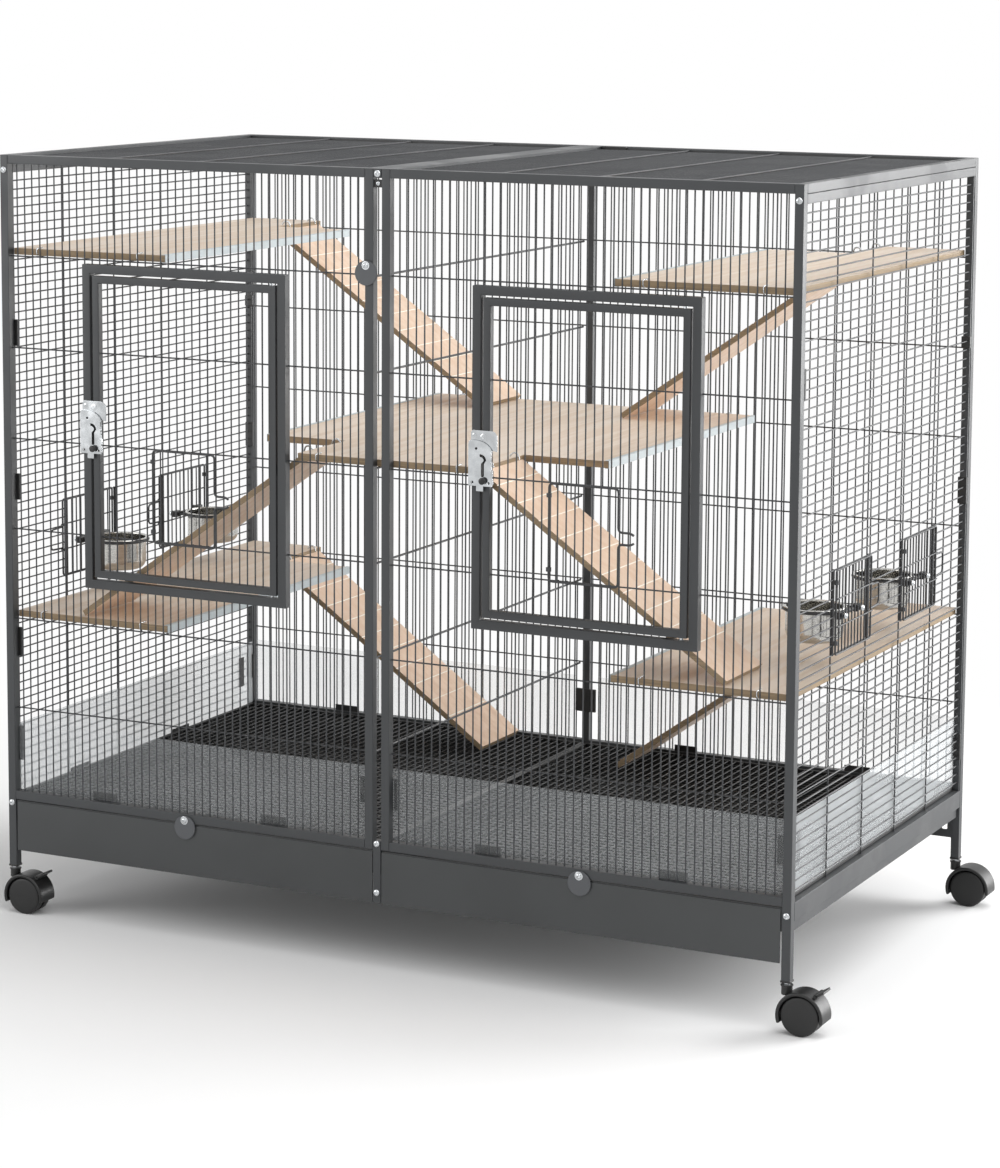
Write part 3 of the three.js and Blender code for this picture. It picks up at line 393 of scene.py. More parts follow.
def bent_wire(points, radius, bend=3, closed=False):
    """A wire bent round at each inner point."""
    corners = [Vector(point) for point in points]
    path = []
    for i, corner in enumerate(corners):
        if not closed and i in (0, len(corners) - 1):
            path.append(corner)
            continue
        back = corners[i - 1] - corner
        onward = corners[(i + 1) % len(corners)] - corner
        reach = min(bend, back.length / 2, onward.length / 2)
        start = corner + back.normalized() * reach
        end = corner + onward.normalized() * reach
        for step in range(BEND_STEPS + 1):
            share = step / BEND_STEPS
            path.append(start.lerp(corner, share).lerp(corner.lerp(end, share), share))
    deselect()
    bpy.ops.curve.primitive_bezier_curve_add()
    piece = bpy.context.active_object
    curve = piece.data
    curve.splines.clear()
    line = curve.splines.new("POLY")
    line.points.add(len(path) - 1)
    for point, spot in zip(line.points, path):
        point.co = (*at(*spot), 1)
    line.use_cyclic_u = closed
    curve.dimensions = "3D"
    curve.bevel_depth = radius * MM
    curve.bevel_resolution = 3
    curve.use_fill_caps = not closed
    bpy.ops.object.convert(target="MESH")
    piece = bpy.context.active_object
    bpy.ops.object.mode_set(mode="EDIT")
    bpy.ops.mesh.select_all(action="SELECT")
    bpy.ops.mesh.remove_doubles(threshold=1e-6)
    face_outwards()
    return piece


def cut(piece, cutter):
    """Takes one shape out of another; the cut faces keep the cutter's finish."""
    apply_modifier(
        piece,
        "cut",
        "BOOLEAN",
        operation="DIFFERENCE",
        solver="EXACT",
        object=cutter,
        material_mode="TRANSFER" if cutter.data.materials else "INDEX",
    )
    bpy.data.objects.remove(cutter)
    return piece


def copied(piece, matrix=None):
    """A copy with its own mesh, moved by a matrix."""
    twin = piece.copy()
    twin.data = piece.data.copy()
    bpy.context.collection.objects.link(twin)
    if matrix is not None:
        twin.data.transform(matrix)
        if matrix.determinant() < 0:
            twin.data.flip_normals()
    return twin


def moved(piece, x=0, y=0, z=0):
    return copied(piece, Matrix.Translation(Vector((x, y, z)) * MM))


def finish(name, pieces, coat, body, slot, *nodes):
    """Joins a piece's shapes, smooths it, and hands it to the body that carries it."""
    whole = join(name, pieces, coat)
    pick(whole)
    bpy.ops.object.shade_smooth_by_angle(angle=SMOOTH)
    apply_modifier(whole, "flat_faces", "WEIGHTED_NORMAL", keep_sharp=True)
    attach(whole, body)
    if nodes:
        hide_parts(*nodes)
    return whole


# ---- Finishes ----
class Finish:
    """A material's nodes, laid on the piece's own Object coordinates."""

    def __init__(self, name, **constants):
        self.material = bpy.data.materials.new(name)
        self.material.use_nodes = True
        tree = self.material.node_tree
        tree.nodes.clear()
        self.nodes, self.links = tree.nodes, tree.links
        self.shader = self.nodes.new("ShaderNodeBsdfPrincipled")
        out = self.nodes.new("ShaderNodeOutputMaterial")
        self.links.new(self.shader.outputs["BSDF"], out.inputs["Surface"])
        self.place = self.nodes.new("ShaderNodeTexCoord").outputs["Object"]
        for socket, value in constants.items():
            self.shader.inputs[socket.replace("_", " ")].default_value = value

    def noise(self, scale, stretch=(1, 1, 1), detail=4.0, distortion=0.0):
        spread = self.nodes.new("ShaderNodeMapping")
        spread.inputs["Scale"].default_value = stretch
        self.links.new(self.place, spread.inputs["Vector"])
        node = self.nodes.new("ShaderNodeTexNoise")
        node.inputs["Scale"].default_value = scale
        node.inputs["Detail"].default_value = detail
        node.inputs["Distortion"].default_value = distortion
        self.links.new(spread.outputs["Vector"], node.inputs["Vector"])
        return node.outputs["Fac"]

    def spread(self, source, low, high, to_low=0.0, to_high=1.0):
        node = self.nodes.new("ShaderNodeMapRange")
        for socket, value in (
            ("From Min", low), ("From Max", high), ("To Min", to_low), ("To Max", to_high),
        ):
            node.inputs[socket].default_value = value
        self.links.new(source, node.inputs["Value"])
        return node.outputs["Result"]

    def mix(self, share, first, second):
        node = self.nodes.new("ShaderNodeMix")
        node.data_type = "RGBA"
        self.links.new(share, node.inputs[0])
        for socket, value in ((node.inputs[6], first), (node.inputs[7], second)):
            if isinstance(value, bpy.types.NodeSocket):
                self.links.new(value, socket)
            else:
                socket.default_value = (*value, 1)
        return node.outputs[2]

    def edges(self, low=0.52, high=0.62):
        # Pointiness picks out sharp edges, where the finishes paint a highlight by lightening the
        # colour.
        pointed = self.nodes.new("ShaderNodeNewGeometry").outputs["Pointiness"]
        return self.spread(pointed, low, high)

    def colour(self, socket):
        self.links.new(socket, self.shader.inputs["Base Color"])

    def rough(self, source, low, high):
        self.links.new(self.spread(source, 0.3, 0.7, low, high), self.shader.inputs["Roughness"])

    def bump(self, source, height, strength=0.5):
        node = self.nodes.new("ShaderNodeBump")
        node.inputs["Distance"].default_value = height * MM
        node.inputs["Strength"].default_value = strength
        self.links.new(source, node.inputs["Height"])
        self.links.new(node.outputs["Normal"], self.shader.inputs["Normal"])


def shade(base, factor):
    return tuple(min(1.0, channel * factor) for channel in base)


def powder_coat(name, base, low, high):
    """A fine-textured powder coat with cloudy patches, and paler sharp edges: a painted edge
    highlight, partly rubbed wear.
    """
    coat = Finish(name)
    cloud = coat.spread(coat.noise(9, detail=3), 0.35, 0.65)
    patches = coat.mix(cloud, shade(base, 0.84), shade(base, 1.18))
    grain = coat.noise(1400, detail=2)
    speckled = coat.mix(coat.spread(grain, 0.55, 0.8, 0, 0.5), patches, shade(base, 1.7))
    # Sharp edges mixed to a paler colour: a painted highlight along the edges, partly wear.
    coat.colour(coat.mix(coat.edges(), speckled, shade(base, 1.9)))
    coat.rough(cloud, low, high)
    coat.bump(grain, 0.05, 0.35)
    return coat.material


def plated(name, base, low, high, stretch=(1, 1, 1)):
    """Bright metal with faint scratches and handling marks."""
    metal = Finish(name, Metallic=1.0)
    marks = metal.noise(60, stretch, detail=5)
    metal.colour(metal.mix(metal.spread(marks, 0.35, 0.65), shade(base, 0.82), base))
    metal.rough(marks, low, high)
    metal.bump(metal.noise(700, stretch, detail=3), 0.02, 0.25)
    return metal.material


def moulded(name, base, low, high, height=0.04):
    """Moulded plastic with a fine skin, and sharp edges lightened as a painted highlight."""
    skin = Finish(name)
    cloud = skin.noise(30, detail=3)
    body = skin.mix(skin.spread(cloud, 0.35, 0.65), shade(base, 0.75), shade(base, 1.35))
    # Sharp edges mixed much paler: a painted edge highlight.
    skin.colour(skin.mix(skin.edges(), body, shade(base, 2.6)))
    skin.rough(cloud, low, high)
    skin.bump(skin.noise(1800, detail=2), height, 0.4)
    return skin.material


def board(name, base, grain):
    """Varnished board: slow tone changes, long streaks and short pores along the grain."""
    wood = Finish(name)
    tone = wood.spread(wood.noise(3.2, grain, detail=2), 0.35, 0.65)
    streaks = wood.spread(wood.noise(75, grain, detail=6, distortion=0.4), 0.38, 0.66)
    face = wood.mix(tone, shade(base, 0.94), shade(base, 1.05))
    dark = (base[0] * 0.93, base[1] * 0.89, base[2] * 0.85)
    grained = wood.mix(streaks, face, dark)
    pores = wood.noise(520, grain, detail=3)
    wood.colour(wood.mix(wood.spread(pores, 0.62, 0.78, 0, 0.22), grained, shade(dark, 0.8)))
    wood.rough(streaks, 0.42, 0.6)
    wood.bump(pores, 0.05, 0.3)
    return wood.material


def cut_edge(name, base):
    """The open edge of a board: thin layers one over another."""
    edge = Finish(name)
    layers = edge.spread(edge.noise(260, (0.05, 0.05, 3.0), detail=2), 0.4, 0.6)
    blotch = edge.mix(layers, shade(base, 0.7), shade(base, 1.25))
    edge.colour(edge.mix(edge.noise(40, detail=4), blotch, shade(base, 0.9)))
    edge.rough(layers, 0.6, 0.8)
    edge.bump(layers, 0.08, 0.4)
    return edge.material


def clear_sheet(name, base, haze):
    """Clear sheet with a faint haze and wiping marks."""
    sheet = Finish(name, IOR=1.5)
    smear = sheet.noise(5, (1, 1, 2.5), detail=3, distortion=0.6)
    sheet.colour(sheet.mix(sheet.spread(smear, 0.3, 0.7), shade(base, 0.95), base))
    sheet.rough(smear, 0.05, 0.12)
    sheet.links.new(sheet.spread(smear, 0.3, 0.7, haze, haze * 1.3), sheet.shader.inputs["Alpha"])
    return sheet.material


ALONG_Y = (1, 0.05, 1)
ALONG_X = (0.05, 1, 1)
RECIPES = {
    "paint": (powder_coat, "frame_paint", "paint", 0.38, 0.52),
    "wire": (powder_coat, "wire_paint", "wire", 0.35, 0.5),
    "grille": (powder_coat, "grille_paint", "grille", 0.35, 0.5),
    "tray": (powder_coat, "tray_paint", "tray", 0.3, 0.42),
    "disc": (powder_coat, "disc_paint", "disc", 0.45, 0.58),
    "chrome": (plated, "chrome", "chrome", 0.1, 0.24),
    "steel": (plated, "bowl_steel", "steel", 0.12, 0.22, (1, 1, 8)),
    "plastic": (moulded, "caster_plastic", "plastic", 0.32, 0.46),
    "tread": (moulded, "wheel_plastic", "plastic", 0.45, 0.6, 0.08),
    "clip": (moulded, "clip_plastic", "plastic", 0.35, 0.5),
    "strip": (moulded, "edge_strip", "strip", 0.3, 0.42, 0.02),
    "shelf": (board, "shelf_board", "wood", ALONG_Y),
    "ramp": (board, "ramp_board", "ramp", ALONG_X),
    "core": (cut_edge, "board_edge", "core"),
    # Groove finish: fresh wood, lightened further as painted light against the shade in the
    # grooves.
    "groove": (board, "fresh_groove", "groove", ALONG_Y),
    "clear": (clear_sheet, "clear_sheet", "clear", 0.11),
    # The side sheets get a denser haze than the front and rear ones so that they read paler: a
    # painted reflection.
    "side": (clear_sheet, "clear_side_sheet", "clear", 0.3),
}
LOOKS = {}


def look(name):
    """The finish of that name, made the first time it is asked for."""
    if name not in LOOKS:
        recipe, title, hue, *settings = RECIPES[name]
        LOOKS[name] = recipe(title, getattr(finishes(), hue), *settings)
    return LOOKS[name]


# ---- Welded panels ----
def wire_row(first, end, count=1, step=(0, 0, 0), radius=None):
    """A row of equal wires, beginning with the one between two places."""
    wires = rod(first, end, radius or wire_radius())
    if count > 1:
        row(wires, count, step)
    return painted(wires, look("wire"))


def end_panel(x0, leg_left, at_rear):
    """Posts, rails and wires of a front or rear panel."""

    def y(depth):
        return DEPTH - depth if at_rear else depth

    def tube(x_low, x_high, z_low, z_high):
        return bar((x_low, min(y(0), y(TUBE)), z_low), (x_high, max(y(0), y(TUBE)), z_high))

    right = x0 + MODULE
    start, end = x0 + TUBE, right - TUBE
    leg_x, inner_x = (x0, right - TUBE) if leg_left else (right - TUBE, x0)
    leg = tube(leg_x, leg_x + TUBE, 0, HEIGHT)
    centre_x, centre_y = leg_x + TUBE / 2, y(TUBE / 2)
    cut(leg, rod((centre_x, centre_y, -5), (centre_x, centre_y, BORE_DEPTH), BORE, 16))
    shapes = [leg]
    if at_rear:
        start, end = (start, MODULE + FIT) if leg_left else (RIGHT_X - FIT, end)
    else:
        shapes.append(tube(inner_x, inner_x + TUBE, LOW_RAIL, HEIGHT))
    shapes.append(tube(start, end, TOP_RAIL, HEIGHT))
    shapes.append(tube(start, end, LOW_RAIL, LOW_RAIL + TUBE))
    low, high = LOW_RAIL + TUBE - 1, TOP_RAIL + 1
    fine = y(WIRE_LAYER)
    coarse = y(COARSE_LAYER)
    if at_rear:
        first = x0 + TUBE + (FINE_PITCH if leg_left else 0)
        shapes.append(
            wire_row((first, fine, low), (first, fine, high), FINE_BAYS, (FINE_PITCH, 0, 0))
        )
        shapes.append(wire_row(
            (start - 1, coarse, ROWS[-1]), (end + 1, coarse, ROWS[-1]),
            len(ROWS), (0, 0, ROWS[0] - ROWS[1]),
        ))
        shapes.append(rear_plate(leg_left))
        return shapes
    reach = DOOR_GAP + TUBE
    inner = (x0 + DOOR_LEFT - reach, x0 + DOOR_RIGHT + reach, DOOR_LOW - reach, DOOR_HIGH + reach)
    places = [x0 + TUBE + step * FINE_PITCH for step in range(1, FINE_BAYS)]
    beside_left = [x for x in places if x <= inner[0]]
    behind = [x for x in places if inner[0] < x < inner[1]]
    beside_right = [x for x in places if x >= inner[1]]
    for group, spans in (
        (beside_left, [(low, high)]),
        (behind, [(low, inner[2] + 1), (inner[3] - 1, high)]),
        (beside_right, [(low, high)]),
    ):
        for z_low, z_high in spans:
            shapes.append(wire_row(
                (group[0], fine, z_low), (group[0], fine, z_high), len(group), (FINE_PITCH, 0, 0)
            ))
    for z in ROWS:
        spans = [(x0 + TUBE - 1, right - TUBE + 1)]
        if inner[2] < z < inner[3]:
            spans = [(x0 + TUBE - 1, inner[0] + 1), (inner[1] - 1, right - TUBE + 1)]
        for x_low, x_high in spans:
            shapes.append(wire_row((x_low, coarse, z), (x_high, coarse, z)))
    surround = tube_ring((inner[0], 0, inner[2]), (inner[1], TUBE, inner[3]), TUBE, 1)
    pin = (x0 + PIN_X, TUBE / 2)
    cut(surround, rod(
        (*pin, DOOR_LOW - DOOR_GAP - 6.4), (*pin, DOOR_HIGH + DOOR_GAP + 6.4), 3, 16
    ))
    shapes.append(surround)
    return shapes


def rear_plate(at_left):
    """The thin plate between a rear leg and the middle post, with its slot near the leg."""
    near = DEPTH - TUBE + 2
    left, right = (TUBE, MODULE) if at_left else (RIGHT_X, WIDTH - TUBE)
    sheet = bar((left, near, REAR_PLATE_LOW), (right, near + SHEET, LOW_RAIL + 1), 0.4)
    slot_x = left + 8 if at_left else right - 14
    slot_low, slot_high = REAR_PLATE_LOW + 11, REAR_PLATE_LOW + 28
    return cut(sheet, bar((slot_x, near - 5, slot_low), (slot_x + 8, near + 6, slot_high), 2, 3))


def tie_rods():
    """Rods from the middle front post to the rear wires."""
    x = MODULE - TUBE / 2
    return [
        wire_row(
            (x, TUBE + FIT, z - TIE_DROP), (x, DEPTH - COARSE_LAYER, z - TIE_DROP),
            radius=ROD_RADIUS,
        )
        for z in ROWS
    ]


class CAGE_OT_end_panels(bpy.types.Operator):
    """Make the welded front and rear panels."""

    bl_idname = "cage.end_panels"
    bl_label = "Front and rear panels"

    def execute(self, context):
        for side, x0 in MODULES:
            for end in ("front", "rear"):
                node = f"{end}_panel_{side}"
                shapes = end_panel(x0, side == "left", end == "rear")
                if node == "rear_panel_left":
                    shapes += tie_rods()
                finish(f"welded_{node}", shapes, look("paint"), "frame", "frame_paint", node)
        return {"FINISHED"}


def hinge_eye(x, y, z, towards):
    """A curl of wire round a hinge wire, on a short stub."""
    eye = turned_shape([(2.1, -2.5), (3.4, -2.5), (3.4, 2.5), (2.1, 2.5)], 16)
    cut(eye, turned_shape([(2.0, -4), (2.0, 4)], 16))
    stood(eye, (x, y, z))
    start = (x + towards[0] * 2.6, y + towards[1] * 2.6, z)
    end = (x + towards[0] * 4.4, y + towards[1] * 4.4, z)
    return [painted(eye, look("wire")), painted(rod(start, end, 1.4), look("wire"))]


def side_panel():
    """Rails, stiles, tray runner, wires and feeder openings of the left side."""
    near, far = TUBE + FIT, DEPTH - TUBE - FIT
    top = TOP_RAIL - FIT
    shapes = [
        bar((0, near, top - TUBE), (TUBE, far, top)),
        bar((0, near, SIDE_LOW), (TUBE, far, FLOOR)),
        bar((1, near, FLOOR), (TUBE - 1, near + STILE, top - TUBE), 0.5),
        bar((1, far - STILE, FLOOR), (TUBE - 1, far, top - TUBE), 0.5),
        bar((RUNNER_X, near, RUNNER_TOP), (RUNNER_X + 2, far, SIDE_LOW), 0.3),
        bar((RUNNER_X, near, RUNNER_LOW), (RUNNER_X + 14, far, RUNNER_TOP), 0.3),
    ]
    start, end = near + STILE - 1, far - STILE + 1
    spans = [(start, end)]
    opened = [(start, SIDE_COLUMNS[0]), (SIDE_COLUMNS[1], SIDE_COLUMNS[2]), (SIDE_COLUMNS[3], end)]
    for first, last, parts in ((1, 24, spans), (25, 32, opened), (33, 71, spans)):
        z = FLOOR + first * SIDE_PITCH
        for y_low, y_high in parts:
            shapes.append(wire_row(
                (WIRE_LAYER, y_low, z), (WIRE_LAYER, y_high, z),
                last - first + 1, (0, 0, SIDE_PITCH),
            ))
    for y in SIDE_COLUMNS:
        shapes.append(wire_row(
            (COARSE_LAYER, y, FLOOR - 1), (COARSE_LAYER, y, top - TUBE + 1)
        ))
        shapes.append(wire_row(
            (WIRE_LAYER, y, FEEDER_LOW - 1.4), (WIRE_LAYER, y, FEEDER_HIGH + 1.4),
            radius=ROD_RADIUS,
        ))
    for y in SIDE_COLUMNS[1::2]:
        for z in (FEEDER_LOW + EYE_INSET, FEEDER_HIGH - EYE_INSET):
            shapes += hinge_eye(SWING_Y, y, z, (1, 0))
    return shapes


def finish_both(left, matrix, name, body, slot, node, places=("left", "right")):
    """Finishes a piece and its moved copy; {} in a name stands for the place."""
    for piece, place in zip((left, copied(left, matrix)), places):
        finish(name.format(place), [piece], None, body.format(place), slot, node.format(place))


class CAGE_OT_side_panels(bpy.types.Operator):
    """Make the welded side panels with their feeder openings."""

    bl_idname = "cage.side_panels"
    bl_label = "Side panels"

    def execute(self, context):
        left = join("welded_side_panel_left", side_panel(), look("paint"))
        finish_both(
            left, HALF_TURN, "welded_side_panel_{}", "frame", "frame_paint", "side_panel_{}"
        )
        return {"FINISHED"}


class CAGE_OT_roof_panels(bpy.types.Operator):
    """Make the welded roof panels."""

    bl_idname = "cage.roof_panels"
    bl_label = "Roof panels"

    def execute(self, context):
        near, far = TUBE + FIT, DEPTH - TUBE - FIT
        pitch = (far - near - 2 * STILE) / 52
        coarse = (MODULE - 2 * TUBE) / 4
        for side, x0 in MODULES:
            right = x0 + MODULE
            y = near + STILE + pitch
            x = x0 + TUBE + coarse
            rails = [
                bar((x0, near, TOP_RAIL), (x0 + TUBE, far, HEIGHT)),
                bar((right - TUBE, near, TOP_RAIL), (right, far, HEIGHT)),
            ]
            outer_rail = rails[0] if side == "left" else rails[1]
            for screw_x, screw_y in ROOF_SCREWS:
                if x0 < screw_x < right:
                    cut(outer_rail, rod(
                        (screw_x, screw_y, HEIGHT - SUNK), (screw_x, screw_y, HEIGHT + 3), 4.7, 20
                    ))
            shapes = rails + [
                bar((x0 + TUBE, near, TOP_RAIL + 1), (right - TUBE, near + STILE, HEIGHT - 1), 0.5),
                bar((x0 + TUBE, far - STILE, TOP_RAIL + 1), (right - TUBE, far, HEIGHT - 1), 0.5),
                wire_row(
                    (x0 + TUBE - 1, y, ROOF_WIRE), (right - TUBE + 1, y, ROOF_WIRE),
                    51, (0, pitch, 0),
                ),
                wire_row(
                    (x, near + STILE - 1, ROOF_WIRE + 2.2), (x, far - STILE + 1, ROOF_WIRE + 2.2),
                    3, (coarse, 0, 0),
                ),
            ]
            node = f"roof_panel_{side}"
            finish(f"welded_{node}", shapes, look("paint"), "frame", "frame_paint", node)
        return {"FINISHED"}


class CAGE_OT_middle_frame(bpy.types.Operator):
    """Make the middle rail of the roof and the middle beam of the base."""

    bl_idname = "cage.middle_frame"
    bl_label = "Middle frame"

    def execute(self, context):
        left, right = MODULE + FIT, RIGHT_X - FIT
        rail = [bar((left, 0, TOP_RAIL), (right, DEPTH, HEIGHT))]
        finish("middle_roof_rail", rail, look("paint"), "frame", "frame_paint", "centre_rail")
        near, far = TUBE + FIT, DEPTH - TUBE - FIT
        middle = WIDTH / 2
        shapes = [
            bar((left, TUBE, SIDE_LOW), (right, DEPTH - TUBE, FLOOR)),
            bar((left, 0, SHORT_FOOT), (right, TUBE, LOW_RAIL + TUBE)),
            bar((left, DEPTH - TUBE, SHORT_FOOT), (right, DEPTH, TOP_RAIL)),
            bar((middle - 1, near, RUNNER_TOP), (middle + 1, far, SIDE_LOW), 0.3),
            bar((middle - 15, near, RUNNER_LOW), (middle + 15, far, RUNNER_TOP), 0.3),
        ]
        finish("middle_base_beam", shapes, look("paint"), "frame", "frame_paint", "centre_beam")
        return {"FINISHED"}


# ---- Doors, hatches and latches ----
def hatch_box(x0):
    return (
        x0 + DOOR_MIDDLE - HATCH_HALF, x0 + DOOR_MIDDLE + HATCH_HALF, ROWS[3], ROWS[2],
    )


class CAGE_OT_doors(bpy.types.Operator):
    """Make the two large doors with their wires and hinge pins."""

    bl_idname = "cage.doors"
    bl_label = "Doors"

    def execute(self, context):
        for side, x0 in MODULES:
            left, right = x0 + DOOR_LEFT, x0 + DOOR_RIGHT
            shapes = [tube_ring((left, 1, DOOR_LOW), (right, 11, DOOR_HIGH), DOOR_TUBE, 1)]
            hatch_left, _, hatch_low, hatch_high = hatch_box(x0)
            low, high = DOOR_LOW + DOOR_TUBE - 1, DOOR_HIGH - DOOR_TUBE + 1
            inner = left + DOOR_TUBE
            for first, last, spans in (
                (1, 7, [(low, high)]),
                (8, 14, [(low, hatch_low + 2), (hatch_high - 2, high)]),
                (15, DOOR_BAYS - 1, [(low, high)]),
            ):
                x = inner + first * DOOR_PITCH
                for z_low, z_high in spans:
                    shapes.append(wire_row(
                        (x, WIRE_LAYER, z_low), (x, WIRE_LAYER, z_high),
                        last - first + 1, (DOOR_PITCH, 0, 0),
                    ))
            for z in ROWS:
                if low < z < high:
                    shapes.append(wire_row(
                        (inner - 1, COARSE_LAYER, z), (right - DOOR_TUBE + 1, COARSE_LAYER, z),
                    ))
            for z in (hatch_low + EYE_INSET, hatch_high - EYE_INSET):
                shapes += hinge_eye(hatch_left, SWING_Y, z, (0, 1))
            for z_low, z_high in (
                (DOOR_LOW - DOOR_GAP - 6, DOOR_LOW + 1), (DOOR_HIGH - 1, DOOR_HIGH + DOOR_GAP + 6),
            ):
                shapes.append(painted(
                    rod((x0 + PIN_X, 6, z_low), (x0 + PIN_X, 6, z_high), 2.5, 16), look("chrome")
                ))
            node = f"door_{side}"
            finish(f"wire_{node}", shapes, look("paint"), node, "frame_paint", node)
        return {"FINISHED"}


class CAGE_OT_hatches(bpy.types.Operator):
    """Make the small hatches of bent wire."""

    bl_idname = "cage.hatches"
    bl_label = "Hatches"

    def execute(self, context):
        for side, x0 in MODULES:
            left, right, low, high = hatch_box(x0)
            middle = (low + high) / 2
            prongs = [
                [(right + 21, SWING_Y, middle + way * 5), (right + 16, SWING_Y, middle + way * 7.5),
                 (right, SWING_Y, middle + way * 7.5)]
                for way in (1, -1)
            ]
            frame_line = prongs[0] + [
                (right, SWING_Y, high), (left, SWING_Y, high), (left, SWING_Y, low),
                (right, SWING_Y, low),
            ] + prongs[1][::-1]
            shapes = [
                bent_wire(frame_line, frame_wire_radius(), 6),
                row(
                    rod((left + DOOR_PITCH, SWING_Y, low), (left + DOOR_PITCH, SWING_Y, high),
                        wire_radius()),
                    7, (DOOR_PITCH, 0, 0),
                ),
            ]
            node = f"hatch_{side}"
            finish(f"wire_{node}", shapes, look("wire"), node, "frame_paint", node)
        return {"FINISHED"}


def screw(place, axis, diameter=None, finish_name="chrome"):
    """A button-head screw with its socket, standing on a face."""
    head = (diameter or sizes().screw / MM) / 2
    piece = turned_shape([
        (head, 0), (head, head * 0.14), (head * 0.92, head * 0.3), (head * 0.7, head * 0.46),
        (head * 0.42, head * 0.53), (head * 0.36, head * 0.5), (head * 0.34, head * 0.2),
    ], 18)
    return stood(painted(piece, look(finish_name)), place, axis)


def low_screw(place, axis, head):
    """A flat screw head with its socket."""
    piece = turned_shape([
        (head, 0), (head, 0.15), (head * 0.85, 0.4), (head * 0.42, 0.42), (head * 0.36, 0.1),
    ], 20)
    return stood(painted(piece, look("chrome")), place, axis)


def arc(centre, radius, start, end, steps):
    """Places along an arc, its angles in degrees."""
    angles = [math.radians(start + (end - start) * step / steps) for step in range(steps + 1)]
    return [(centre[0] + radius * math.cos(a), centre[1] + radius * math.sin(a)) for a in angles]


LATCH_FACE = -3
LATCH_OUTLINE = [
    (137, 577), (147, 577), (147, 583.5), (159, 583.5), (159, 629), (156.5, 633), (152.5, 636.6),
    (147.5, 639.4), (141, 641.2), (133, 641.8), (129, 641.6), (126.6, 640), (125.8, 636),
    (125.8, 584.5), (127, 583.5), (137, 583.5),
]


class CAGE_OT_latches(bpy.types.Operator):
    """Make the fixed and the lifting plates of the door latches."""

    bl_idname = "cage.latches"
    bl_label = "Latches"

    def execute(self, context):
        for side, x0 in MODULES:
            back = rounded(plate(
                [(x0 + 128.5, 634), (x0 + 165.5, 628)] + arc((x0 + 157.5, 646), 8, 0, 90, 6)
                + [(x0 + 131, 654), (x0 + 128.5, 651.5)], "xz", -1, -0.1,
            ), 0.25)
            pad = bar((x0 + 145, -0.2, 636), (x0 + 153, 1.1, 650), 0.2)
            shapes = [back, pad]
            for x, z, head in ((x0 + 146.5, 645.5, 4.6), (x0 + 133.5, 647.5, 2.9)):
                shapes.append(low_screw((x, -1, z), (0, -1, 0), head))
            finish(
                f"latch_back_{side}", shapes, look("chrome"), f"door_{side}", "latch_chrome",
                f"latch_plate_{side}",
            )
            front = plate(
                [(x0 + x, z) for x, z in LATCH_OUTLINE], "xz", LATCH_FACE, LATCH_FACE + 1.5
            )
            slot_x = x0 + 146
            hook_slot = (
                arc((slot_x, 597), 2, 180, 360, 6) + [(slot_x + 2, 612)]
                + arc((slot_x - 3, 616), 8, 0, 100, 6) + arc((slot_x - 3, 616), 4.6, 100, 0, 6)
                + [(slot_x - 2, 612)]
            )
            cut(front, plate(hook_slot, "xz", -6, 2))
            for x, z, radius in ((137, 631, 1.6), (131.5, 588, 1.8), (154.5, 588, 1.6)):
                cut(front, rod((x0 + x, -6, z), (x0 + x, 2, z), radius, 14))
            shapes = [
                rounded(front, 0.3),
                bar((x0 + 157.8, -5.2, 608), (x0 + 159.2, LATCH_FACE + 0.6, 628), 0.4),
                bar((x0 + 158.4, -6.4, 586), (x0 + 161.6, LATCH_FACE + 0.6, 605), 0.6),
            ]
            knob = turned_shape([
                (3.6, 0), (3.6, 2.8), (4.4, 3.4), (4.4, 4.8), (3.6, 5.4), (1.4, 5.4),
            ], 18)
            knob = painted(knob, look("clip"))
            shapes.append(stood(knob, (slot_x + 1, LATCH_FACE + 0.4, 590.5), (0, -1, 0)))
            finish(
                f"latch_front_{side}", shapes, look("chrome"), f"latch_slide_{side}",
                "latch_chrome", f"latch_slide_{side}",
            )
        return {"FINISHED"}


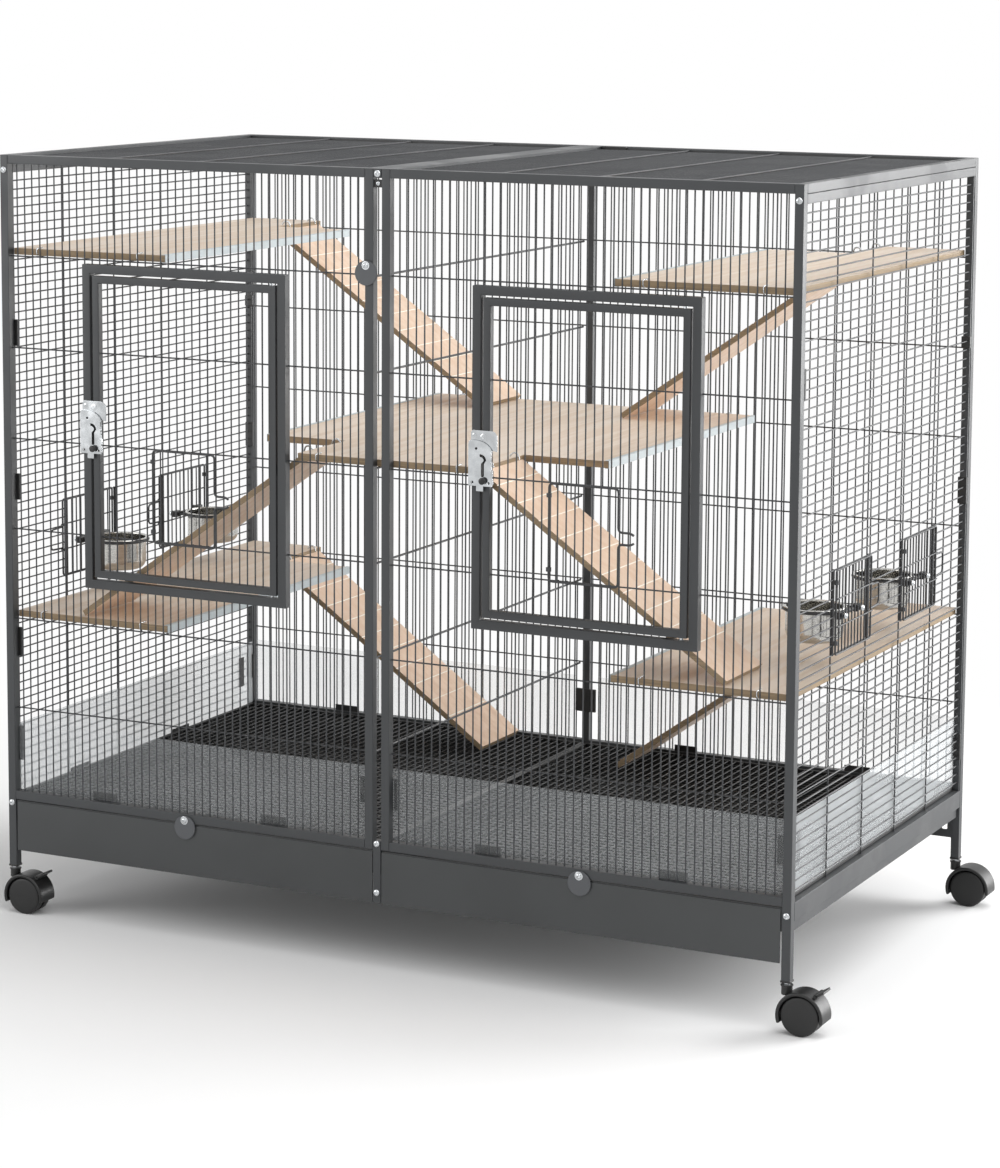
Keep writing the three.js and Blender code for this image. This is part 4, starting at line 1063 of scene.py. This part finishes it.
# ---- Feeders ----
def feeder_door(near, far):
    """A swinging wire door with the ring that holds a bowl, at the left side."""
    radius = frame_wire_radius() * 0.85
    middle = (FEEDER_LOW + FEEDER_HIGH) / 2
    ring_y = (near + far) / 2 + BOWL_SHIFT
    pitch = (far - near) / 11
    first = near + pitch
    shapes = [
        bent_wire([
            (SWING_Y, near, FEEDER_LOW), (SWING_Y, far, FEEDER_LOW),
            (SWING_Y, far, FEEDER_HIGH), (SWING_Y, near, FEEDER_HIGH),
        ], radius, 4, closed=True),
        bent_wire([
            (SWING_Y, near, middle - 15), (SWING_Y, near - 29, middle - 14),
            (SWING_Y, near - 29, middle + 14), (SWING_Y, near, middle + 15),
        ], radius, 6),
        row(rod((SWING_Y, first, FEEDER_LOW), (SWING_Y, first, FEEDER_HIGH), wire_radius()),
            10, (0, pitch, 0)),
    ]
    rise = (FEEDER_HIGH - FEEDER_LOW) / 3
    shapes.append(row(
        rod((-1, near, FEEDER_LOW + rise), (-1, far, FEEDER_LOW + rise), wire_radius()),
        2, (0, 0, rise),
    ))
    deselect()
    bpy.ops.mesh.primitive_torus_add(
        location=at(RING_X, ring_y, RING_Z), major_radius=RING_RADIUS * MM, minor_radius=1.75 * MM,
        major_segments=40, minor_segments=10,
    )
    shapes.append(made())
    reach = RING_X - math.sqrt(RING_RADIUS**2 - ARM_HALF**2)
    link = bar((5, ring_y - ARM_HALF, RING_Z - 2), (8, ring_y + ARM_HALF, RING_Z + 2))
    shapes.append(painted(link, look("clip")))
    for y in (ring_y - ARM_HALF, ring_y + ARM_HALF):
        shapes.append(rod((-0.3, y, RING_Z), (reach, y, RING_Z), 1.75))
        nut = turned_shape([
            (4, 0), (4.2, 0.2), (4.2, 1.4), (3.8, 2), (3.3, 2.9), (2.3, 3.6), (1, 3.9),
        ], 18)
        shapes.append(stood(painted(nut, look("chrome")), (-0.35, y, RING_Z), (-1, 0, 0)))
        block = bar((2.8, y - 7, RING_Z - 4.5), (11, y + 7, RING_Z + 4.5))
        shapes.append(painted(block, look("clip")))
    return shapes


class CAGE_OT_feeder_doors(bpy.types.Operator):
    """Make the swing-out feeder doors with their rings."""

    bl_idname = "cage.feeder_doors"
    bl_label = "Feeder doors"

    def execute(self, context):
        for near, far, *places in FEEDERS:
            shapes = feeder_door(near, far)
            finish_both(
                join("feeder", shapes, look("wire")), HALF_TURN, "feeder_wire_{}", "feeder_{}",
                "frame_paint", "feeder_door_{}", places,
            )
        return {"FINISHED"}


class CAGE_OT_bowls(bpy.types.Operator):
    """Make the steel bowls with their rolled rims."""

    bl_idname = "cage.bowls"
    bl_label = "Bowls"

    def execute(self, context):
        profile = [
            (20, 1.2), (26, 0.1), (28.6, 0), (31.5, 1.3), (34.4, 4.2), (36.2, 8), (37, 12.5),
            (37, 41.6), (37.6, 42.5), (39.6, 42.3), (40.6, 42.4), (41, 43.1), (40.4, 43.9),
            (37.6, 44.1), (36.3, 43.6), (35.7, 42), (35.7, 13), (34.8, 9), (32.8, 5.6),
            (29.8, 3.2), (27, 2.4), (16, 3.2),
        ]
        base = RING_Z + 1.75 + FIT + 1.5 - 44
        shape = painted(turned_shape(profile, 40), look("steel"))
        for near, far, *places in FEEDERS:
            y = (near + far) / 2 + BOWL_SHIFT
            left = stood(copied(shape), (RING_X, y, base))
            finish_both(
                left, HALF_TURN, "steel_bowl_{}", "bowl_{}", "bowl_steel", "feeder_bowl_{}",
                places,
            )
        bpy.data.objects.remove(shape)
        return {"FINISHED"}


# ---- Floor ----
class CAGE_OT_grilles(bpy.types.Operator):
    """Make the wire grilles that lie over the trays."""

    bl_idname = "cage.grilles"
    bl_label = "Floor grilles"

    def execute(self, context):
        near, far = TUBE + 2 * FIT + STILE, DEPTH - TUBE - 2 * FIT - STILE
        left, right = 9.2, WIDTH / 2 - FIT
        low, high = FLOOR + FIT, GRILLE_TOP
        pitch = (right - left - 10) / 47
        cross = (far - near - 10) / 49
        shapes = [
            tube_ring((left, near, low), (right, far, high), 5, 2),
            row(rod(
                (left + 5 + pitch, near + 4, high - 1.6), (left + 5 + pitch, far - 4, high - 1.6),
                wire_radius(),
            ), 46, (pitch, 0, 0)),
            row(rod(
                (left + 4, near + 5 + cross, low + 1.3), (right - 4, near + 5 + cross, low + 1.3),
                wire_radius() * 0.9,
            ), 48, (0, cross, 0)),
        ]
        grille = join("grille", shapes, look("grille"))
        finish_both(
            grille, MIRROR, "wire_grille_{}", "frame", "black_wire", "floor_grille_{}"
        )
        return {"FINISHED"}


class CAGE_OT_trays(bpy.types.Operator):
    """Make the pull-out trays of folded sheet."""

    bl_idname = "cage.trays"
    bl_label = "Trays"

    def execute(self, context):
        for side, _ in MODULES:
            node = f"tray_{side}"
            low, high = (PAN_LEFT, 2, PAN_LOW), (MODULE - 0.5, 630, PAN_HIGH)
            pan = bar(low, high, 0)
            hollow = bar(
                (low[0] + SHEET, low[1] + SHEET, low[2] + SHEET),
                (high[0] - SHEET, high[1] - SHEET, high[2] + 5), 0,
            )
            pan = rounded(cut(pan, hollow), 0.35)
            front = bar((14, 0.5, APRON_LOW), (MODULE - 0.6, 2.1, APRON_HIGH), 0.5)
            shapes = [pan, front]
            if side == "right":
                shapes = [painted(copied(join("tray", shapes), MIRROR), look("tray"))]
                bpy.data.objects.remove(bpy.data.objects["tray"])
            finish(f"folded_{node}", shapes, look("tray"), node, "tray_paint", node)
        return {"FINISHED"}


class CAGE_OT_discs(bpy.types.Operator):
    """Make the turning discs with their screws."""

    bl_idname = "cage.discs"
    bl_label = "Discs"

    def execute(self, context):
        for node in ("tray_disc_left", "tray_disc_right", "post_disc"):
            low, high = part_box(node)
            middle = (low + high) / 2
            x, _, z = (middle - CORNER) / MM
            disc = turned_shape([(15.2, 0), (16, 0.7), (16, 1.7), (15.3, 2.4)], 40)
            stood(disc, (x, -FIT, z), (0, -1, 0))
            washer = turned_shape([(5.6, 0), (5.6, 0.5), (5.2, 0.8)], 24)
            stood(painted(washer, look("chrome")), (x, -2.7, z + 10), (0, -1, 0))
            shapes = [disc, washer, screw((x, -3.4, z + 10), (0, -1, 0), 7.5)]
            finish(f"turning_{node}", shapes, look("disc"), node, "disc_paint", node)
        return {"FINISHED"}


# ---- Boards ----
def shelf_board(x_low, x_high, top, notches):
    """A board with its notches cut out and its open edges in the core's colour."""
    board_piece = bar((x_low, BOARD_INSET, top - SHELF), (x_high, DEPTH - BOARD_INSET, top), 0)
    painted(board_piece, look("shelf"))
    board_piece.data.materials.append(look("core"))
    for notch in notches:
        cutter = bar((notch[0], notch[2], top - 20), (notch[1], notch[3], top + 10), 0)
        cut(board_piece, painted(cutter, look("core")))
    for face in board_piece.data.polygons:
        face.material_index = 0 if abs(face.normal.z) > 0.5 else 1
    return rounded(board_piece, 0.5)


def edge_strip(x, y_low, y_high, top, side):
    """A channel pushed over a board's edge; side is the way that the edge faces."""
    thick = sizes().strip / MM
    outer = x + side * thick
    lip = x - side * 5
    low, high = top - SHELF - 0.6, top + 0.6
    points = [
        (outer, low), (outer, high), (lip, high), (lip, top), (x, top), (x, top - SHELF),
        (lip, top - SHELF), (lip, low),
    ]
    return painted(rounded(plate(points, "xz", y_low, y_high), 0.25, 1), look("strip"))


def wire_hook(x, y, top, towards):
    """A bent wire hook that stands over a board's edge."""
    return painted(bent_wire([
        (x + 6 * towards, y, top - 3), (x + 4 * towards, y, top + 5),
        (x - 3 * towards, y, top + 6), (x - 7 * towards, y, top + 1.1),
    ], 1.1, 3), look("chrome"))


def shelf_tabs(xs, top, ends):
    """Small plated clips that hold a board on the coarse wires."""
    shapes = []
    for x in xs:
        for at_rear in ends:
            y = DEPTH - COARSE_LAYER if at_rear else COARSE_LAYER
            inward = -1 if at_rear else 1
            shapes.append(painted(bent_wire([
                (x, y + inward * 14, top + 0.9), (x, y - inward * 0.2, top + 0.9),
                (x, y - inward * 0.2, top - 6), (x, y + inward * 4.6, top - SHELF - 0.8),
            ], 0.9, 2), look("chrome")))
    return shapes


class CAGE_OT_shelves(bpy.types.Operator):
    """Make the notched shelf boards with their edge strips."""

    bl_idname = "cage.shelves"
    bl_label = "Shelves"

    def execute(self, context):
        left, right = SIDE_SHELF
        notch_y = DEPTH - TUBE - NOTCH_DEPTH
        for level in ("upper", "lower"):
            top = TOPS[level]
            shapes = [
                shelf_board(left, right, top, [(right - NOTCH, right + 20, notch_y, DEPTH + 20)]),
                edge_strip(right, BOARD_INSET, notch_y, top, 1),
            ]
            shapes += shelf_tabs((left + 40, right - 40), top, (False,))
            shapes += shelf_tabs((left + 40,), top, (True,))
            node = f"shelf_{level}_{{}}"
            finish_both(join("shelf", shapes), MIRROR, f"board_{node}", "frame", "wood", node)
        left, right = MIDDLE_SHELF
        top = TOPS["middle"]
        notch_y = TUBE + NOTCH_DEPTH
        notches = [
            (left - 20, left + NOTCH, -20, notch_y), (right - NOTCH, right + 20, -20, notch_y),
        ]
        shapes = [
            shelf_board(left, right, top, notches),
            edge_strip(right, notch_y, DEPTH - BOARD_INSET, top, 1),
            edge_strip(left, notch_y, DEPTH - BOARD_INSET, top, -1),
        ]
        shapes += shelf_tabs((left + 40, right - 40), top, (True,))
        shapes += shelf_tabs((left + NOTCH + 30, right - NOTCH - 30), top, (False,))
        finish("board_shelf_middle", shapes, None, "frame", "wood", "shelf_middle")
        return {"FINISHED"}


def ramp(edge, way, top, foot, at_rear):
    """A grooved board that hangs from a shelf's edge and runs down to the next level."""
    start = edge + way * FIT
    upper = top - 5
    slope = math.atan2(upper - foot, RAMP_RUN)
    thick = RAMP_THICK / math.cos(slope)
    low_x = start + way * (upper - thick - foot - FIT) / math.tan(slope)
    toe = Vector((math.sin(slope), math.cos(slope))) * RAMP_THICK
    points = [
        (start, upper), (start, upper - thick), (low_x, foot + FIT),
        (low_x + way * toe.x, foot + FIT + toe.y),
    ]
    near = DEPTH - RAMP_EDGE - RAMP_WIDE if at_rear else RAMP_EDGE
    far = near + RAMP_WIDE
    body = painted(plate(points, "xz", near, far), look("ramp"))
    body.data.materials.append(look("core"))
    for face in body.data.polygons:
        across = abs(face.normal.y) > 0.5
        end = abs(face.normal.z) < math.sin(slope) + 0.05 and not across
        face.material_index = 1 if across or end else 0
    rounded(body, 0.6)
    along = Vector((way * math.cos(slope), 0, -math.sin(slope)))
    out = Vector((way * math.sin(slope), 0, math.cos(slope)))
    half = sizes().groove / MM / 2
    spacing = sizes().groove_spacing / MM
    length_down = (Vector(points[3]) - Vector(points[0])).length
    first = Vector((start, 0, upper)) + along * spacing * 0.8
    cutter = plate(
        [(-half, 0.3), (half, 0.3), (half * 0.6, -0.8), (-half * 0.6, -0.8)], "xz",
        near - 5, far + 5,
    )
    frame_matrix = Matrix((along, (0, 1, 0), out)).transposed().to_4x4()
    cutter.data.transform(
        Matrix.Translation(at(*first)) @ frame_matrix @ Matrix.Translation(-CORNER)
    )
    if way < 0:
        cutter.data.flip_normals()
    count = int((length_down - spacing) // spacing)
    # The groove faces take the near-white groove finish: fresh wood plus painted light.
    painted(row(cutter, count, along * spacing), look("groove"))
    cut(body, cutter)
    hooks = [wire_hook(edge, y, top, way) for y in (near + 22, far - 22)]
    return [body] + hooks


class CAGE_OT_ramps(bpy.types.Operator):
    """Make the grooved ramps with their wire hooks."""

    bl_idname = "cage.ramps"
    bl_label = "Ramps"

    def execute(self, context):
        side_edge = SIDE_SHELF[1] - NOTCH
        for level, top, foot in (
            ("upper", TOPS["upper"], TOPS["middle"]), ("lower", TOPS["lower"], GRILLE_TOP),
        ):
            left = join("ramp", ramp(side_edge, 1, top, foot, True))
            node = f"ramp_{level}_{{}}"
            finish_both(left, MIRROR, f"board_{node}", "frame", "wood", node)
        for side, edge, way in (
            ("left", MIDDLE_SHELF[0] + NOTCH, -1), ("right", MIDDLE_SHELF[1] - NOTCH, 1),
        ):
            shapes = ramp(edge, way, TOPS["middle"], TOPS["lower"], False)
            node = f"ramp_middle_{side}"
            finish(f"board_{node}", shapes, None, "frame", "wood", node)
        return {"FINISHED"}


GUARD_CLIPS = {
    "front_left": [(131, 170, 0, 11), (394, 433, 0, 11), (544, 556, 45, 81)],
    "front_right": [(594, 600, 40, 82), (712, 749, 0, 11), (970, 1008, 0, 11),
                    (1126, 1136, 37, 75)],
    "rear_left": [(156, 194, 0, 9), (416, 455, 0, 9)],
    "rear_right": [(718, 753, 0, 9), (979, 1017, 0, 9)],
    "side_left": [(135, 180, 0, 5), (399, 447, 0, 5), (594, 607, 31, 76)],
    "side_right": [(203, 251, 0, 5), (470, 515, 0, 5), (43, 56, 31, 76)],
}


class CAGE_OT_guards(bpy.types.Operator):
    """Make the clear splash guards and the clips that hold them."""

    bl_idname = "cage.guards"
    bl_label = "Splash guards"

    def execute(self, context):
        for place in ("front_left", "front_right", "rear_left", "rear_right", "side_left",
                      "side_right"):
            node = f"splash_guard_{place}"
            low, high = ((corner - CORNER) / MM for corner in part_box(node))
            sheet = bar(low, high, 0.3)
            # Side sheets take the hazier finish so that they read paler: a painted reflection.
            sheet_look = look("side" if place.startswith("side") else "clear")
            finish(f"clear_{node}", [sheet], sheet_look, "frame", "clear_sheet", node)
            clips = []
            for start, end, z_low, z_high in GUARD_CLIPS[place]:
                if place.startswith("side"):
                    inner = (high.x, high.x + 1.6) if place == "side_left" else (low.x - 1.6, low.x)
                    clips.append(bar(
                        (inner[0], start, low.z + z_low), (inner[1], end, low.z + z_high), 0.5,
                    ))
                else:
                    rear = place.startswith("rear")
                    inner = (low.y - 2, low.y) if rear else (high.y, high.y + 2)
                    clips.append(bar(
                        (start, inner[0], low.z + z_low), (end, inner[1], low.z + z_high), 0.5,
                    ))
            finish(f"clips_{place}", clips, look("clip"), "frame", "caster_plastic")
        return {"FINISHED"}


# ---- Casters ----
def hood_shape():
    """The hood over a twin wheel, with its web, socket and stem, round the wheel's axle."""
    shell = plate(
        arc((0, 0), HOOD_RADIUS, -11, 201, 28) + arc((0, 0), 26.6, 201, -11, 28),
        "xz", -HOOD_HALF, HOOD_HALF,
    )
    rounded(shell, 1.6, 3)
    web = plate(arc((0, 0), 28, 0, 180, 20) + arc((0, 0), 8, 180, 360, 8), "xz", -2.5, 2.5)
    cut(web, rod((0, -9, 0), (0, 9, 0), 3.3, 20))
    base = -0.3 - WHEEL_Z
    socket = rod((-WHEEL_X, 0, base - 15), (-WHEEL_X, 0, base - 2.5), 7, 24)
    collar = rod((-WHEEL_X, 0, base - 4.5), (-WHEEL_X, 0, base - 2.4), 7.9, 24)
    stem = rod((-WHEEL_X, 0, base - 6), (-WHEEL_X, 0, 25 - WHEEL_Z), 4, 16)
    return [shell, web, rounded(socket, 0.6), rounded(collar, 0.5), painted(stem, look("chrome"))]


def wheel_shape():
    """Two wheels on their axle, each with a plain, slightly domed face."""
    inner, outer = 2.8, 14.6
    half = [
        (WHEEL_RADIUS, inner), (WHEEL_RADIUS, outer - 2.2), (24.4, outer - 1),
        (23, outer - 0.3), (21, outer), (14, outer + 0.35), (7, outer + 0.55),
        (2.4, outer + 0.6),
    ]
    profile = [(radius, -y) for radius, y in reversed(half)]
    profile += [(3, -inner), (3, inner)] + half
    wheel = turned_shape(profile, 36)
    return stood(wheel, (0, 0, 0), (0, 1, 0))


def lever_shape():
    """The brake's foot lever: a ribbed paddle on a round root."""
    swing = math.radians(55)
    root_x, root_z = LEVER_ROOT * math.cos(swing), LEVER_ROOT * math.sin(swing)
    tilt = math.radians(30)
    along = Vector((math.cos(tilt), math.sin(tilt)))
    up = Vector((-math.sin(tilt), math.cos(tilt)))
    root = Vector((root_x, root_z))
    half = 12
    points = [
        root - up * 1.5, root + along * 12 - up * 1.5, root + along * 12.6 + up * 0.6,
        root + along * 11.4 + up * 1.7, root + up * 1.5,
    ]
    paddle = rounded(plate([tuple(point) for point in points], "xz", -half, half), 0.5)
    shapes = [paddle, rounded(rod((root_x, -half, root_z), (root_x, half, root_z), 3, 18), 0.4)]
    for reach in (5, 7.5, 10):
        spot = root + along * reach + up * 1.4
        shapes.append(rod((spot.x, 2 - half, spot.y), (spot.x, half - 2, spot.y), 0.6, 8))
    return shapes


class CAGE_OT_casters(bpy.types.Operator):
    """Make the twin-wheel casters and the brake levers of the front two."""

    bl_idname = "cage.casters"
    bl_label = "Casters"

    def execute(self, context):
        hood = join("hood", hood_shape(), look("plastic"))
        wheel = painted(wheel_shape(), look("tread"))
        lever = join("lever", lever_shape(), look("plastic"))
        for place, (x, y) in LEGS.items():
            spot = (x + WHEEL_X, y, WHEEL_Z)
            parts = [
                (hood, f"caster_body_{place}", f"caster_{place}", "caster_plastic",
                 f"caster_hood_{place}"),
                (wheel, f"twin_wheel_{place}", f"wheel_{place}", "wheel_plastic",
                 f"caster_wheel_{place}"),
            ]
            if place.startswith("front"):
                parts.append((lever, f"foot_lever_{place}", f"brake_{place}", "caster_plastic",
                              f"brake_lever_{place}"))
            for shape, name, body, slot, node in parts:
                finish(name, [moved(shape, *spot)], None, body, slot, node)
        for shape in (hood, wheel, lever):
            bpy.data.objects.remove(shape)
        return {"FINISHED"}


# ---- Small fasteners ----
class CAGE_OT_fasteners(bpy.types.Operator):
    """Make the screws, bolts, clips and brackets that hold the panels together."""

    bl_idname = "cage.fasteners"
    bl_label = "Fasteners"

    def execute(self, context):
        shapes = []
        for x, z in ((6, 957), (6, 90), (WIDTH - 6, 957), (WIDTH - 6, 84)):
            shapes.append(screw((x, -0.05, z), (0, -1, 0)))
            shapes.append(screw((x, DEPTH + 0.05, z), (0, 1, 0)))
        middle = WIDTH / 2
        for z, head in ((970.5, 9.5), (103, 9), (38, 9)):
            shapes.append(screw((middle, -0.05, z), (0, -1, 0), head))
        shapes.append(screw((middle, 1.9, 958), (0, -1, 0), 6))
        for x, y in ROOF_SCREWS:
            shapes.append(low_screw((x, y, HEIGHT - SUNK), (0, 0, 1), 4))
        finish("screws", shapes, look("chrome"), "frame", "latch_chrome")
        clips = [
            bar((MODULE - 0.4, 2, 953), (RIGHT_X + 0.4, 5, 963)),
            bar((560, DEPTH - 15.5, 150), (592, DEPTH - 11.5, 184), 0.8),
            bar((595, DEPTH - 19, 966), (633, DEPTH - 11.8, HEIGHT), 0.8),
            bar((WIDTH - 12, 16, 716), (WIDTH - 0.6, 20, 755), 0.6),
        ]
        for z_low, z_high in ((718, 734), (503, 540), (143, 180)):
            for x_low in (0.4, WIDTH - 13.2):
                clips.append(bar(
                    (x_low, DEPTH - 16.5, z_low), (x_low + 12.8, DEPTH - 11.8, z_high), 0.8
                ))
        for z_low, z_high in ((719, 755), (509, 545), (293, 333), (148, 196)):
            clips.append(bar((11.6, 11.6, z_low), (17, 15.5, z_high), 0.8))
        for x, y in LEGS.values():
            cap = bar((x - CAP_HALF, y - CAP_HALF, -0.2), (x + CAP_HALF, y + CAP_HALF, 2.8))
            clips.append(cut(cap, rod((x, y, -5), (x, y, 8), BORE, 16)))
        finish("joining_clips", clips, look("clip"), "frame", "caster_plastic")
        return {"FINISHED"}


# ---- Studio ----
class CAGE_OT_studio(bpy.types.Operator):
    """Set the floor, the lights, the backdrop and the camera."""

    bl_idname = "cage.studio"
    bl_label = "Studio"

    def execute(self, context):
        scene = context.scene
        scene.view_settings.view_transform = "Standard"
        deselect()
        bpy.ops.mesh.primitive_plane_add(size=30, location=(0, 0, 0))
        ground = made()
        ground.name = "floor"
        ground.data.materials.append(self.ground_finish())
        self.backdrop(scene)
        for name, place, target, size, power in (
            ("key", (2.6, -2.2, 3.4), (0, 0, 0.4), 2.6, 45),
            ("fill", (-3.0, -3.0, 1.6), (0, 0, 0.5), 2.4, 50),
            ("top", (0.9, 0.5, 4.0), (0.2, 0, 0), 3.4, 85),
            ("behind", (3.4, 3.0, 1.2), (0.3, 0, 0.5), 3.0, 260),
        ):
            bpy.ops.object.light_add(type="AREA", location=place)
            lamp = context.active_object
            lamp.name = name
            lamp.data.size = size
            lamp.data.energy = power
            lamp.rotation_euler = (
                (Vector(target) - Vector(place)).to_track_quat("-Z", "Y").to_euler()
            )
        bpy.ops.object.camera_add(
            location=(1.9698, -3.9746, 1.2916),
            rotation=tuple(math.radians(a) for a in (82.372, -0.354, 26.509)),
        )
        camera = context.active_object
        camera.name = "camera"
        camera.data.sensor_width = 36
        camera.data.lens = 101.56
        camera.data.shift_y = -0.1498
        camera.data.clip_end = 100
        scene.camera = camera
        return {"FINISHED"}

    def seen_straight(self, nodes, links):
        """1 for rays that come straight from the camera, or through gloss or clear sheet."""
        path = nodes.new("ShaderNodeLightPath")
        share = path.outputs["Is Camera Ray"]
        for other in ("Is Glossy Ray", "Is Transmission Ray"):
            most = nodes.new("ShaderNodeMath")
            most.operation = "MAXIMUM"
            links.new(share, most.inputs[0])
            links.new(path.outputs[other], most.inputs[1])
            share = most.outputs[0]
        return share

    def backdrop(self, scene):
        world = bpy.data.worlds.new("studio")
        scene.world = world
        world.use_nodes = True
        nodes, links = world.node_tree.nodes, world.node_tree.links
        nodes.clear()
        out = nodes.new("ShaderNodeOutputWorld")
        blend = nodes.new("ShaderNodeMixShader")
        links.new(self.seen_straight(nodes, links), blend.inputs[0])
        for slot, strength in ((1, 0.42), (2, 1.0)):
            light = nodes.new("ShaderNodeBackground")
            light.inputs["Color"].default_value = (1, 1, 1, 1)
            light.inputs["Strength"].default_value = strength
            links.new(light.outputs[0], blend.inputs[slot])
        links.new(blend.outputs[0], out.inputs["Surface"])

    def ground_finish(self):
        ground = Finish("studio_floor", Roughness=1.0)
        ground.shader.inputs["Specular IOR Level"].default_value = 0
        cloud = ground.spread(ground.noise(0.6), 0.3, 0.7)
        base = finishes().ground
        ground.colour(ground.mix(cloud, shade(base, 0.99), base))
        nodes, links = ground.nodes, ground.links
        out = next(node for node in nodes if node.type == "OUTPUT_MATERIAL")
        glow = nodes.new("ShaderNodeEmission")
        glow.inputs["Color"].default_value = (1, 1, 1, 1)
        glow.inputs["Strength"].default_value = 1
        away = nodes.new("ShaderNodeVectorMath")
        away.operation = "LENGTH"
        links.new(ground.place, away.inputs[0])
        distance = ground.spread(away.outputs["Value"], 0.8, 1.6)
        seen = nodes.new("ShaderNodeMath")
        seen.operation = "MULTIPLY"
        links.new(distance, seen.inputs[0])
        links.new(self.seen_straight(nodes, links), seen.inputs[1])
        blend = nodes.new("ShaderNodeMixShader")
        links.new(seen.outputs[0], blend.inputs[0])
        links.new(ground.shader.outputs["BSDF"], blend.inputs[1])
        links.new(glow.outputs["Emission"], blend.inputs[2])
        links.new(blend.outputs[0], out.inputs["Surface"])
        return ground.material


STEPS = (
    CAGE_OT_studio,
    CAGE_OT_end_panels,
    CAGE_OT_side_panels,
    CAGE_OT_roof_panels,
    CAGE_OT_middle_frame,
    CAGE_OT_doors,
    CAGE_OT_hatches,
    CAGE_OT_latches,
    CAGE_OT_feeder_doors,
    CAGE_OT_bowls,
    CAGE_OT_grilles,
    CAGE_OT_trays,
    CAGE_OT_discs,
    CAGE_OT_shelves,
    CAGE_OT_ramps,
    CAGE_OT_guards,
    CAGE_OT_casters,
    CAGE_OT_fasteners,
)


class CAGE_PT_panel(bpy.types.Panel):
    """Lists the cage's sizes, finishes and pieces."""

    bl_idname = "CAGE_PT_panel"
    bl_label = "Ferret cage"
    bl_space_type = "VIEW_3D"
    bl_region_type = "UI"
    bl_category = "Cage"

    def draw(self, context):
        layout = self.layout
        for group in (context.scene.cage_sizes, context.scene.cage_finishes):
            box = layout.box()
            for name in group.__annotations__:
                box.prop(group, name)
        for step in STEPS:
            layout.operator(step.bl_idname)


CLASSES = (CageSizes, CageFinishes, *STEPS, CAGE_PT_panel)


def register():
    for cls in CLASSES:
        bpy.utils.register_class(cls)
    bpy.types.Scene.cage_sizes = PointerProperty(type=CageSizes)
    bpy.types.Scene.cage_finishes = PointerProperty(type=CageFinishes)


def unregister():
    del bpy.types.Scene.cage_finishes
    del bpy.types.Scene.cage_sizes
    for cls in reversed(CLASSES):
        bpy.utils.unregister_class(cls)


def main():
    register()
    for step in STEPS:
        group, name = step.bl_idname.split(".")
        getattr(getattr(bpy.ops, group), name)()


if __name__ == "__main__":
    main()
